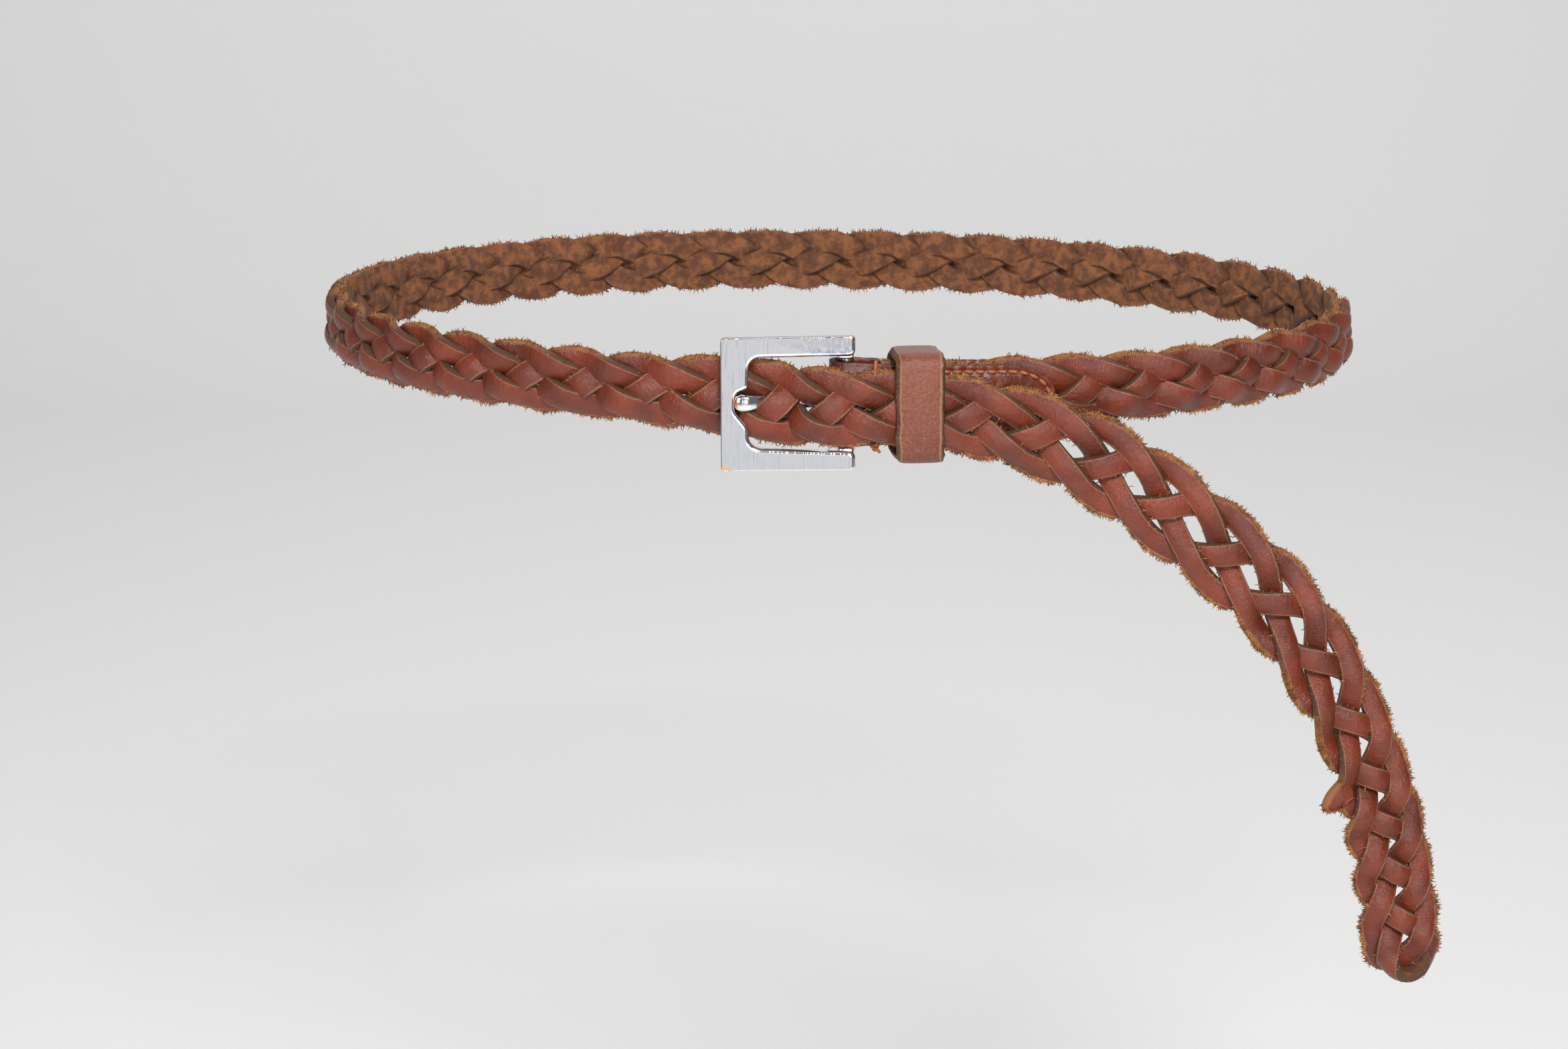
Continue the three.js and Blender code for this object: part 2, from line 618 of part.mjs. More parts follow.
const leather = new THREE.MeshStandardMaterial({ color: 0x7d3a26, roughness: 0.55, metalness: 0 });
const tabLeather = new THREE.MeshStandardMaterial({ color: 0x5e2b20, roughness: 0.5, metalness: 0 });
const keeperLeather = new THREE.MeshStandardMaterial({ color: 0x8f4c34, roughness: 0.6, metalness: 0 });
const nickel = new THREE.MeshStandardMaterial({ color: 0xc8c8cb, roughness: 0.25, metalness: 1 });

const belt = new THREE.Group();
belt.add(named('lace_a', laceGeometry(3, tipTurns.outer, 1), leather));
belt.add(named('lace_b', laceGeometry(0, tipTurns.inner, 2), leather));
belt.add(named('tab', tabGeometry(), tabLeather));

const buckle = new THREE.Group();
buckle.applyMatrix4(buckleFrame);
buckle.add(named('buckle_frame', buckleFrameGeometry(), nickel));
buckle.add(named('prong', prongGeometry(), nickel));
belt.add(buckle);

const keeperPlace = new THREE.Group();
keeperPlace.applyMatrix4(frameAtX(keeperCentreX));
keeperPlace.add(named('keeper', keeperGeometry(), keeperLeather));
belt.add(keeperPlace);

export default belt;
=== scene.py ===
import bmesh
import bpy
import numpy as np
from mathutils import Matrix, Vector


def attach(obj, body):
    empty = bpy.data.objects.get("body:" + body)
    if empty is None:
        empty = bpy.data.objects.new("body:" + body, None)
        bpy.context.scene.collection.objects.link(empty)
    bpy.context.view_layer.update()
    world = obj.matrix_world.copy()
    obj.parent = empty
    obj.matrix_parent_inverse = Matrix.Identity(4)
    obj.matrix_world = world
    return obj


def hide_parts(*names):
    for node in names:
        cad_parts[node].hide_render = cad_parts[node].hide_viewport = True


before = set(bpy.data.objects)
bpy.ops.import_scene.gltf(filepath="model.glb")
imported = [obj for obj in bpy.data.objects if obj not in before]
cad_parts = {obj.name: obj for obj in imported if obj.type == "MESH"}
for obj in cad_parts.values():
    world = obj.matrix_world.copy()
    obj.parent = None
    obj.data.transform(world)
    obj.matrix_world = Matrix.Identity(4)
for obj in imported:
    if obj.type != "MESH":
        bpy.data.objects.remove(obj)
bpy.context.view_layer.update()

# The photograph's view: a camera about a metre in front of the buckle and a little above it, with a long lens.
# The picture is 2343 by 1568 pixels and the lens spans 5556 of its pixels.
PICTURE_WIDTH = 2343
LENS_PIXELS = 5556
SENSOR = 36.0
TARGET = Vector((-0.016, -0.104, -0.034))
CAMERA_PLACE = TARGET + Vector((0.0, -0.9703, 0.2419))

camera_data = bpy.data.cameras.new("camera")
camera_data.sensor_width = SENSOR
camera_data.lens = SENSOR * LENS_PIXELS / PICTURE_WIDTH
camera_data.clip_start = 0.01
camera = bpy.data.objects.new("camera", camera_data)
camera.location = CAMERA_PLACE
camera.rotation_euler = (TARGET - CAMERA_PLACE).to_track_quat("-Z", "Y").to_euler()
bpy.context.scene.collection.objects.link(camera)
bpy.context.scene.camera = camera
bpy.context.scene.view_settings.view_transform = "Standard"


# The studio: a pale floor that curves up into a pale wall behind the belt, and large soft lights in front of it
# and above. None of it is part of the belt.
def mesh_from_grid(name, points, closed_rows=False, closed_columns=False, uv=None, caps=False):
    """Puts a grid of points, rows by columns, into a new mesh as quads between neighbours. A closed direction
    joins its last line to its first. Where caps is set, the first and last rows are closed by one face each.
    uv gives a pair for each corner of the grid, one column wider than the points where the columns close."""
    rows, columns = points.shape[:2]
    down = np.arange(rows if closed_rows else rows - 1)
    across = np.arange(columns if closed_columns else columns - 1)
    i, j = np.meshgrid(down, across, indexing="ij")
    i, j = i.ravel(), j.ravel()
    i_next, j_next = (i + 1) % rows, (j + 1) % columns
    quads = np.stack([i * columns + j, i * columns + j_next, i_next * columns + j_next, i_next * columns + j], 1)
    faces = quads.tolist()
    if caps:
        faces.append(list(range(columns))[::-1])
        faces.append([(rows - 1) * columns + k for k in range(columns)])
    mesh = bpy.data.meshes.new(name)
    mesh.from_pydata((points.reshape(-1, 3) * 0.001).tolist(), [], faces)
    mesh.polygons.foreach_set("use_smooth", np.ones(len(faces), bool))
    if uv is not None:
        wide = uv.shape[1]
        corners = np.stack([i * wide + j, i * wide + j + 1, (i + 1) * wide + j + 1, (i + 1) * wide + j], 1)
        flat = uv.reshape(-1, 2)
        values = flat[corners.ravel()]
        if caps:
            values = np.concatenate([values, uv[0, :columns][::-1], uv[-1, :columns]])
        layer = mesh.uv_layers.new(name="UVMap")
        layer.data.foreach_set("uv", values.ravel())
    mesh.update()
    return mesh


def new_object(name, mesh, material):
    """Makes an object at the origin from a mesh whose place is in its points, with one material."""
    thing = bpy.data.objects.new(name, mesh)
    thing.data.materials.append(material)
    bpy.context.scene.collection.objects.link(thing)
    return thing


def new_material(name):
    """An empty Principled material, with its nodes and its shader."""
    material = bpy.data.materials.new(name)
    material.use_nodes = True
    return material, material.node_tree, material.node_tree.nodes["Principled BSDF"]


def plain_material(name, colour, roughness):
    """Makes a Principled material of one colour, for what isn't part of the belt."""
    material, _, shader = new_material(name)
    shader.inputs["Base Color"].default_value = (*colour, 1)
    shader.inputs["Roughness"].default_value = roughness
    return material


FLOOR_HEIGHT = -330.0
FLOOR_FRONT = -2500.0
FLOOR_HALF_WIDTH = 3000.0
WALL_TOP = 2200.0
WALL_PLACE = 1900.0
SWEEP_RADIUS = 500.0
sweep_angle = np.linspace(0, np.pi / 2, 24)
sweep_y = np.concatenate([[FLOOR_FRONT], WALL_PLACE - SWEEP_RADIUS * (1 - np.sin(sweep_angle)), [WALL_PLACE]])
sweep_z = np.concatenate([[FLOOR_HEIGHT], FLOOR_HEIGHT + SWEEP_RADIUS * (1 - np.cos(sweep_angle)), [WALL_TOP]])
sweep_x = np.array([-FLOOR_HALF_WIDTH, FLOOR_HALF_WIDTH])
sweep = np.stack(np.broadcast_arrays(sweep_x[None, :], sweep_y[:, None], sweep_z[:, None]), -1)
pale_paper = plain_material("pale_paper", (0.88, 0.88, 0.87), 0.9)
backdrop = new_object("backdrop", mesh_from_grid("backdrop", sweep), pale_paper)


def soft_light(name, place, size, power, aim=(0.03, -0.1, -0.04)):
    """Places a square area light that faces the buckle, or another place, and isn't seen itself."""
    data = bpy.data.lights.new(name, "AREA")
    data.size = size
    data.energy = power
    light = bpy.data.objects.new(name, data)
    light.location = place
    light.rotation_euler = (Vector(aim) - Vector(place)).to_track_quat("-Z", "Y").to_euler()
    light.visible_camera = False
    bpy.context.scene.collection.objects.link(light)


soft_light("key", (0.2, -1.4, 1.05), 0.45, 28)
soft_light("fill", (-1.3, -1.1, 0.5), 1.2, 6)
soft_light("near_camera", (0.06, -1.15, 0.14), 0.16, 3.0)
soft_light("front_card", (-0.1, -2.0, -0.12), 1.0, 2.0)
soft_light("back", (0.4, 0.9, 1.4), 1.2, 5)
soft_light("wall", (0.0, 0.9, 1.7), 1.4, 8, aim=(0.0, 1.7, -0.3))
world = bpy.data.worlds.new("studio")
world.use_nodes = True
world.node_tree.nodes["Background"].inputs["Color"].default_value = (0.95, 0.97, 1.0, 1)
world.node_tree.nodes["Background"].inputs["Strength"].default_value = 0.17
bpy.context.scene.world = world

# The middle line of the strap, in millimetres: once round the waist, up over the heel bar, and down the free
# end. These are the sizes that the laces, the tab, the buckle and the keeper all follow.
WAIST_HALF_WIDTH = 146.0
WAIST_HALF_DEPTH = 104.0
WAIST_LEAN = np.radians(4)
FRONT_DIP = 2.2
FRONT_DIP_ANGLE = np.radians(22)
SIDE_TILT = np.radians(0.7)
BUCKLE_WIDTH = 36.2
BUCKLE_CENTRE_X = -15.0
HEEL_BAR_X = BUCKLE_CENTRE_X + BUCKLE_WIDTH / 2 - 2.4
BRAID_START = 9.0
TAIL_LENGTH = 252.0
TIP_LOOP = 12.0
TAIL_LIFT = 8.3
PRONG_RISE = (-0.44, -0.12, 0.5)
HEEL_RISE = (-0.02, 0.33)


def smooth(value, low, high):
    """0 below low, 1 above high, and the cubic 3t² - 2t³ of the way between them."""
    part = np.clip((value - low) / (high - low), 0, 1)
    return part * part * (3 - 2 * part)


def unit(vectors):
    """Each vector over its own length."""
    return vectors / np.linalg.norm(vectors, axis=-1, keepdims=True)


def lengths_along(line):
    """How far each point of a line lies from its first one, along it."""
    return np.concatenate([[0], np.cumsum(np.linalg.norm(np.diff(line, axis=0), axis=1))])


def square_to(vectors, ways):
    """Each vector without its part along its way, at unit length."""
    return unit(vectors - np.sum(vectors * ways, -1, keepdims=True) * ways)


def loop_at(angle, lift=0.0):
    """Points of the ellipse round the waist at an angle from the front, lifted along its outward normal, with
    the height dipping by a bell curve at the front and tilting with X, and the strap's face there."""
    angle = np.asarray(angle, float)
    zero = np.zeros_like(angle)
    outward = unit(np.stack([np.sin(angle) * WAIST_HALF_DEPTH, -np.cos(angle) * WAIST_HALF_WIDTH, zero], -1))
    x = np.sin(angle) * WAIST_HALF_WIDTH
    from_front = np.arctan2(np.sin(angle), np.cos(angle)) / FRONT_DIP_ANGLE
    height = FRONT_DIP * (1 - np.exp(-from_front**2)) - np.tan(SIDE_TILT) * (x - BUCKLE_CENTRE_X)
    point = np.stack([x, -np.cos(angle) * WAIST_HALF_DEPTH, height], -1) + outward * np.asarray(lift)[..., None]
    face = outward * np.cos(WAIST_LEAN) + np.array([0, 0, np.sin(WAIST_LEAN)])
    return point, face


def frame_at_x(x):
    """The origin on the loop at X, and the three directions there: along the belt, up its edge, out of its face."""
    angle = np.arcsin(x / WAIST_HALF_WIDTH)
    point, face = loop_at(angle)
    along = unit(np.array([np.cos(angle) * WAIST_HALF_WIDTH, np.sin(angle) * WAIST_HALF_DEPTH, 0]))
    face = square_to(face, along)
    return point, np.stack([along, np.cross(face, along), face])


# The free end, by shares of its length: degrees below level and towards the back, the turn of its face, and
# its width, pitch and the strands' stand-off as shares of the braid's own.
TAIL = {
    "share": [0, 0.1, 0.2, 0.29, 0.38, 0.49, 0.6, 0.71, 0.8, 0.9, 1],
    "below": [0, 7, 20, 32, 38.5, 43, 57, 66, 74, 81, 83],
    "back": [1, 5.5, 5.5, 5.5, 5.5, 5.5, 5.5, 5.5, 5.5, 5.5, 5.5],
    "face": [0, 0, 0, 0, 0, -4, -10, -14, -8, 0, 2],
    "width": [0.86, 0.83, 0.93, 0.98, 1, 1, 0.97, 0.94, 0.92, 0.9, 0.87],
    "pitch": [0.85, 0.88, 0.98, 0.95, 1.04, 0.98, 1, 0.9, 0.66, 0.68, 0.7],
    "swell": [1, 1, 1, 1, 1, 1, 1, 1.06, 1.14, 1.18, 1.18],
}
# The stretch that opens round the prong, by shares of the buckle's width from the heel bar
OPENING = {
    "share": [-1.6, -0.8, -0.6, -0.4, -0.15, 0],
    "width": [0.77, 0.94, 0.94, 0.92, 0.88, 0.86],
    "pitch": [1, 1.1, 0.96, 0.86, 0.86, 0.92],
    "swell": [1, 1, 1.1, 1.1, 1, 1],
    "room": [0, 0, 1, 1, 0, 0],
}
LACE_WIDTH = 6.7
LACE_THICKNESS = 2.5
LACE_CROWN = 0.75
LOOP_BRAID_WIDTH = 18.8
TAIL_BRAID_WIDTH = 24.4
LOOP_PITCH = 17.7
TAIL_PITCH = 20.7
SLOW_LEG = 0.62
ROUNDS_AT_TIP = 0.25 * SLOW_LEG
PRONG_CROSSING = -0.54


def make_spine():
    """Stations a millimetre apart. Round the waist they lie on the ellipse, lifted on the second pass by two
    smooth steps. Down the free end each is the one before plus a step along its table's direction."""
    start = np.arcsin((HEEL_BAR_X + BRAID_START) / WAIST_HALF_WIDTH)
    end = 2 * np.pi + np.arcsin(HEEL_BAR_X / WAIST_HALF_WIDTH)
    angle = np.linspace(start, end, round((end - start) * WAIST_HALF_WIDTH))
    share = (np.sin(angle) * WAIST_HALF_WIDTH - BUCKLE_CENTRE_X) / BUCKLE_WIDTH
    first = smooth(share, PRONG_RISE[0], PRONG_RISE[1]) * PRONG_RISE[2]
    second = smooth(share, *HEEL_RISE)
    lift = TAIL_LIFT * (first + (1 - first) * second) * (angle > 1.5 * np.pi)
    loop, loop_face = loop_at(angle, lift)
    braided = TAIL_LENGTH - TIP_LOOP
    steps = round(braided)
    tail_share = (np.arange(steps) + 0.5) / steps * braided / TAIL_LENGTH
    below, back, turn = (np.radians(np.interp(tail_share, TAIL["share"], TAIL[k])) for k in ("below", "back", "face"))
    level = np.stack([np.cos(back), np.sin(back), 0 * back], -1)
    way = level * np.cos(below)[:, None] + np.array([0, 0, -1.0]) * np.sin(below)[:, None]
    tail = loop[-1] + np.cumsum(way * braided / steps, 0)
    flat = np.stack([np.sin(back), -np.cos(back), 0 * back], -1)
    tail_face = flat * np.cos(turn)[:, None] + np.cross(way, flat) * np.sin(turn)[:, None]
    lean = WAIST_LEAN * np.clip(1 - tail_share / 0.2, 0, 1)
    tail_face[:, 2] += np.sin(lean)
    point = np.concatenate([loop, tail])
    way = unit(np.gradient(point, axis=0))
    face = square_to(np.concatenate([loop_face, tail_face]), way)
    along = lengths_along(point)
    from_heel = along - along[len(loop) - 1]
    tail_share, opening = from_heel / TAIL_LENGTH, from_heel / BUCKLE_WIDTH
    in_tail = from_heel > 0
    tail_width = TAIL_BRAID_WIDTH * np.interp(tail_share, TAIL["share"], TAIL["width"])
    open_width = TAIL_BRAID_WIDTH * np.interp(opening, OPENING["share"], OPENING["width"])
    open_part = smooth(opening, OPENING["share"][0] - 0.6, OPENING["share"][0])
    width = np.where(in_tail, tail_width, LOOP_BRAID_WIDTH + (open_width - LOOP_BRAID_WIDTH) * open_part)
    width = width * (1 + 0.14 * (1 - smooth(along, 40, 75)))
    tail_pitch = TAIL_PITCH * np.interp(tail_share, TAIL["share"], TAIL["pitch"])
    pitch = np.where(in_tail, tail_pitch, LOOP_PITCH * np.interp(opening, OPENING["share"], OPENING["pitch"]))
    crossing = int(np.argmax(from_heel >= PRONG_CROSSING * BUCKLE_WIDTH))
    rounds_per_step = np.diff(along) / (4 * pitch[1:])
    to_tip = rounds_per_step[crossing:].sum()
    spare = SLOW_LEG + 0.5 * (1 - SLOW_LEG) - ROUNDS_AT_TIP
    rounds_per_step[crossing:] *= (np.round(4 * (to_tip + spare)) / 4 - spare) / to_tip
    rounds = ROUNDS_AT_TIP - np.concatenate([np.cumsum(rounds_per_step[::-1])[::-1], [0]])
    return {
        "point": point, "face": face, "edge": np.cross(face, way), "way": way, "along": along, "rounds": rounds,
        "from_heel": from_heel, "width": width, "room": np.interp(opening, OPENING["share"], OPENING["room"]),
        "broad": np.interp(opening, [-3, -1.5, -0.8, 0, 2], [1.07, 1.11, 1.08, 1.03, 0.95]),
        "bulk": 0.92 + 0.33 * smooth(along, 52, 70),
        "swell": (np.interp(opening, OPENING["share"], OPENING["swell"])
                  * np.interp(tail_share, TAIL["share"], TAIL["swell"])),
    }


spine = make_spine()


# Each lace is one long strip of thick belly leather, cut by knife: a smooth dyed grain face, raw fibrous edges
# and a rough flesh side. Two of them, folded in half at the tip, make the braid's four strands.
def round_angle(rounds):
    """A strand's way round the braid, in radians: the first SLOW_LEG of a round is the half turn down across
    the face, and the rest is the quick half turn back up."""
    whole = np.floor(rounds)
    part = rounds - whole
    slow = np.pi * part / SLOW_LEG
    quick = np.pi * (1 + (part - SLOW_LEG) / (1 - SLOW_LEG))
    return 2 * np.pi * whole + np.where(part < SLOW_LEG, slow, quick)


def lift_wave(t):
    """A strand's height over the braid's middle in millimetres, mostly three waves in a round, so that it goes
    over, under, over on its way down and under, over, under on its way back, where its one crossing over is
    lifted a little more."""
    waves = 0.25 * np.sin(t) - 0.3 * np.cos(2 * t) + 1.07 * np.sin(3 * t) - 0.42 * np.cos(4 * t) - 0.65 * np.sin(5 * t)
    return waves + 0.32 * ((1 - np.sin(t)) / 2) ** 6


def roll_wave(t):
    """A strand's roll about its own length in radians: face down along the way down and round the bottom, so that
    the upper cut edge shows, flat where it crosses over on the way up, and a lean on each neighbour."""
    return np.radians(9.75 - 2 * np.cos(t) + 7.5 * np.sin(t) + 2.25 * np.cos(2 * t) - 10 * np.sin(4 * t))


PRONG_ROOM = 1.2
PRONG_REACH = 4.2
STATION_STEP = 0.62
ON_EDGE_SHARE = (0.47, 0.54, 0.76, 0.84)
ON_EDGE_ROLL = np.radians(50)
LOWER_ROW_ANGLE = 2.75
LOWER_ROW_REACH = 0.62
WORKING_LOSS = 1.28


def strand_line(strand):
    """A strand's stations from the braid's start to the tip: across by the cosine of its angle times the half
    spread, out by its lift wave, and parted by a bell curve where the prong comes through. Low on the free end
    the bell of the angle's distance from the lower row's own angle stands that row on edge. The stations are as
    many as the lace's own length needs, which the crossings make longer than the strap."""
    stations = int(spine["along"][-1] * WORKING_LOSS / STATION_STEP)
    along = np.linspace(0, spine["along"][-1], stations)
    at = {key: np.stack([np.interp(along, spine["along"], spine[key][:, k]) for k in range(3)], -1)
          for key in ("point", "face", "edge")}
    rounds, width, swell, room, broad, bulk = (
        np.interp(along, spine["along"], spine[key]) for key in ("rounds", "width", "swell", "room", "broad", "bulk"))
    broad = broad + 0.02 * room
    angle = round_angle(rounds + strand / 4)
    tail_share = np.interp(along, spine["along"], spine["from_heel"]) / TAIL_LENGTH
    on_edge = smooth(tail_share, *ON_EDGE_SHARE[:2]) * (1 - smooth(tail_share, *ON_EDGE_SHARE[2:]))
    from_row = np.arctan2(np.sin(angle - LOWER_ROW_ANGLE), np.cos(angle - LOWER_ROW_ANGLE))
    roll = roll_wave(angle) - ON_EDGE_ROLL * on_edge * np.exp(-((from_row / LOWER_ROW_REACH) ** 2))
    spread = (width - LACE_WIDTH * broad) / 2
    across = spread * np.cos(angle)
    over = np.where(np.sin(angle) < 0, 1.0, -1.0)
    out = swell * bulk * lift_wave(angle) + over * room * PRONG_ROOM * np.exp(-((across / PRONG_REACH) ** 2))
    point = at["point"] + at["edge"] * across[:, None] + at["face"] * out[:, None]
    return {"point": point, "face": at["face"], "roll": roll, "broad": broad}


# How each lace turns back at the tip: past the braid's end by shares of the loop's length, across by shares of
# the half spread, out in thicknesses, and the roll in degrees.
OUTER_TURN = {
    "along": [0.3, 0.62, 0.86, 0.95, 0.86, 0.55, 0.25],
    "across": [1.02, 0.94, 0.6, 0.1, -0.38, -0.62, -0.6],
    "out": [-0.7, -0.45, -0.15, 0, 0.2, 0.55, 0.55],
    "roll": [-15, -60, -92, -104, -84, -36, -5],
}
INNER_TURN = {
    "along": [0.27, 0.52, 0.64, 0.54, 0.24],
    "across": [0.5, 0.05, -0.4, -0.85, -1.05],
    "out": [0.45, -0.3, -1, -1.05, -0.6],
    "roll": [0, 0, 0, 0, 0],
}


def smooth_line(knots, samples):
    """A Catmull-Rom curve through rows of numbers, from the second row to the one before the last."""
    knots = np.asarray(knots, float)
    t = np.linspace(1, len(knots) - 2, samples)
    i = np.clip(np.floor(t).astype(int), 1, len(knots) - 3)
    f = (t - i)[:, None]
    a, b, c, d = (knots[i + k] for k in (-1, 0, 1, 2))
    return 0.5 * (2 * b + (c - a) * f + (2 * a - 5 * b + 4 * c - d) * f**2 + (3 * b - a - 3 * c + d) * f**3)


def lace_path(out_strand, turn, back_strand):
    """One lace's whole line: out along a strand, round its turn on a smooth curve, and back along another, where
    the roll changes sign because the lace runs the other way."""
    out, back = strand_line(out_strand), strand_line(back_strand)
    tip = {key: spine[key][-1] for key in ("point", "way", "edge", "face", "width")}
    spread = (tip["width"] - LACE_WIDTH) / 2
    rows = (tip["point"] + np.outer(turn["along"], tip["way"]) * TIP_LOOP
            + np.outer(turn["across"], tip["edge"]) * spread + np.outer(turn["out"], tip["face"]) * LACE_THICKNESS)
    rows = np.column_stack([rows, np.radians(turn["roll"])])
    near = 5
    before = [np.append(out["point"][k], out["roll"][k]) for k in (-1 - near, -1)]
    after = [np.append(back["point"][k], -back["roll"][k]) for k in (-1, -1 - near)]
    knots = np.vstack([before, rows, after])
    length = np.linalg.norm(np.diff(knots[1:-1, :3], axis=0), axis=1).sum()
    curve = smooth_line(knots, int(length / STATION_STEP))[1:-1]
    count = len(curve)
    joined = {
        "point": np.concatenate([out["point"], curve[:, :3], back["point"][::-1]]),
        "roll": np.concatenate([out["roll"], curve[:, 3], -back["roll"][::-1]]),
        "face": np.concatenate([out["face"], np.repeat(tip["face"][None], count, 0), back["face"][::-1]]),
        "broad": np.concatenate([out["broad"], np.full(count, out["broad"][-1]), back["broad"][::-1]]),
    }
    return joined


def smooth_noise(generator, count, spacing):
    """A random line of numbers about -1 to 1, joined by cubic steps, one new number every spacing stations."""
    knots = generator.uniform(-1, 1, int(count / spacing) + 3)
    t = np.arange(count) / spacing
    i = t.astype(int)
    f = t - i
    f = f * f * (3 - 2 * f)
    return knots[i] * (1 - f) + knots[i + 1] * f


def lace_section():
    """The lace's outline, from the middle of the flesh side round to it again: three points round each corner
    and a grain face that is crowned as a parabola."""
    w, t, r = LACE_WIDTH / 2, LACE_THICKNESS / 2, 0.55
    corners = []
    for (x, y), first in (((w - r, -t + r), -90), ((w - r, t - r), 0), ((-w + r, t - r), 90), ((-w + r, -t + r), 180)):
        turn = np.radians(first + np.array([0, 45, 90]))
        corners.append(np.stack([x + r * np.cos(turn), y + r * np.sin(turn)], -1))
    share = np.array([0.66, 0.36, 0, -0.36, -0.66])
    crown = np.stack([w * share, t + LACE_CROWN * (1 - (share / 0.84) ** 2)], -1)
    right = np.array([[w + 0.03, 0.0]])
    left = np.array([[-w - 0.03, 0.0]])
    middle = np.array([[0, -t]])
    return np.concatenate([middle, corners[0], right, corners[1], crown, corners[2], left, corners[3]])


def carry_section(path, section, seed):
    """Carries a section along a path: at each station the section's X lies along grain x way and its Y along the
    grain's normal, which is the face's direction turned by the roll. Both edges wander a little, as knife cuts do."""
    generator = np.random.default_rng(seed)
    point = path["point"]
    way = unit(np.gradient(point, axis=0))
    face = square_to(path["face"], way)
    side = np.cross(face, way)
    cos, sin = np.cos(path["roll"])[:, None], np.sin(path["roll"])[:, None]
    grain = face * cos - side * sin
    reach = np.cross(grain, way)
    count = len(point)
    right = 1 + 0.035 * smooth_noise(generator, count, 5) + 0.03 * smooth_noise(generator, count, 19)
    left = 1 + 0.035 * smooth_noise(generator, count, 5) + 0.03 * smooth_noise(generator, count, 19)
    thick = 1 + 0.05 * smooth_noise(generator, count, 23)
    x = section[None, :, 0] * np.where(section[None, :, 0] > 0, right[:, None], left[:, None]) * path["broad"][:, None]
    y = section[None, :, 1] * thick[:, None]
    points = point[:, None] + reach[:, None] * x[..., None] + grain[:, None] * y[..., None]
    length = lengths_along(point)
    ring = lengths_along(np.vstack([section, section[:1]]))
    uv = np.stack(np.broadcast_arrays(length[:, None] / 100, ring[None, :] / ring[-1]), -1)
    return points, uv, reach


def node_group(name, inputs, outputs):
    """An empty shader node group with named inputs and outputs, each given as its name, kind and value."""
    group = bpy.data.node_groups.new(name, "ShaderNodeTree")
    for label, kind, value in inputs:
        socket = group.interface.new_socket(name=label, in_out="INPUT", socket_type=kind)
        if value is not None:
            socket.default_value = value
    for label, kind in outputs:
        group.interface.new_socket(name=label, in_out="OUTPUT", socket_type=kind)
    return group, group.nodes.new("NodeGroupInput"), group.nodes.new("NodeGroupOutput")


def maths(tree, operation, first, second=None, third=None, clamp=False):
    """A Math node whose inputs are sockets or numbers."""
    node = tree.nodes.new("ShaderNodeMath")
    node.operation = operation
    node.use_clamp = clamp
    for slot, value in enumerate((first, second, third)):
        if isinstance(value, bpy.types.NodeSocket):
            tree.links.new(value, node.inputs[slot])
        elif value is not None:
            node.inputs[slot].default_value = value
    return node.outputs[0]


def blend_colours(tree, amount, first, second, mode="MIX"):
    """A Mix node for colours whose inputs are sockets, numbers or colours."""
    node = tree.nodes.new("ShaderNodeMix")
    node.data_type = "RGBA"
    node.blend_type = mode
    for slot, value in ((0, amount), (6, first), (7, second)):
        if isinstance(value, bpy.types.NodeSocket):
            tree.links.new(value, node.inputs[slot])
        elif slot == 0:
            node.inputs[slot].default_value = value
        else:
            node.inputs[slot].default_value = (*value, 1)
    return node.outputs[2]


def noise(tree, vector, scale, detail=3.0, roughness=0.55):
    """A noise texture's value over a vector."""
    node = tree.nodes.new("ShaderNodeTexNoise")
    node.inputs["Scale"].default_value = scale
    node.inputs["Detail"].default_value = detail
    node.inputs["Roughness"].default_value = roughness
    tree.links.new(vector, node.inputs["Vector"])
    return node.outputs["Fac"]


def steps_between(tree, value, low, high):
    """A Map Range node that turns low to high into 0 to 1, smoothly."""
    node = tree.nodes.new("ShaderNodeMapRange")
    node.interpolation_type = "SMOOTHSTEP"
    tree.links.new(value, node.inputs["Value"])
    node.inputs["From Min"].default_value = low
    node.inputs["From Max"].default_value = high
    return node.outputs["Result"]


def object_place(tree):
    """The piece's own coordinates in metres."""
    return tree.nodes.new("ShaderNodeTexCoord").outputs["Object"]


def make_leather_tone():
    """Dyed leather's colour: a slow change from light to dark over centimetres, fine mottling, and darker
    specks where dye or dirt has gathered in the pores."""
    group, given, result = node_group(
        "leather_tone",
        [("Place", "NodeSocketVector", None), ("Light", "NodeSocketColor", (0.5, 0.2, 0.1, 1)),
         ("Dark", "NodeSocketColor", (0.2, 0.06, 0.04, 1))],
        [("Colour", "NodeSocketColor"), ("Mottle", "NodeSocketFloat")],
    )
    slow = steps_between(group, noise(group, given.outputs["Place"], 80, 2.0), 0.3, 0.7)
    fine = noise(group, given.outputs["Place"], 900, 5.0, 0.65)
    mottle = maths(group, "ADD", maths(group, "MULTIPLY", slow, 0.6), maths(group, "MULTIPLY", fine, 0.55), clamp=True)
    tone = blend_colours(group, mottle, given.outputs["Dark"], given.outputs["Light"])
    specks = steps_between(group, noise(group, given.outputs["Place"], 2600, 3.0, 0.6), 0.3, 0.5)
    filled_pores = maths(group, "MULTIPLY", maths(group, "SUBTRACT", 1.0, specks), 0.35)
    speckled = blend_colours(group, filled_pores, tone, (0.05, 0.015, 0.01))
    group.links.new(speckled, result.inputs["Colour"])
    group.links.new(mottle, result.inputs["Mottle"])
    return group


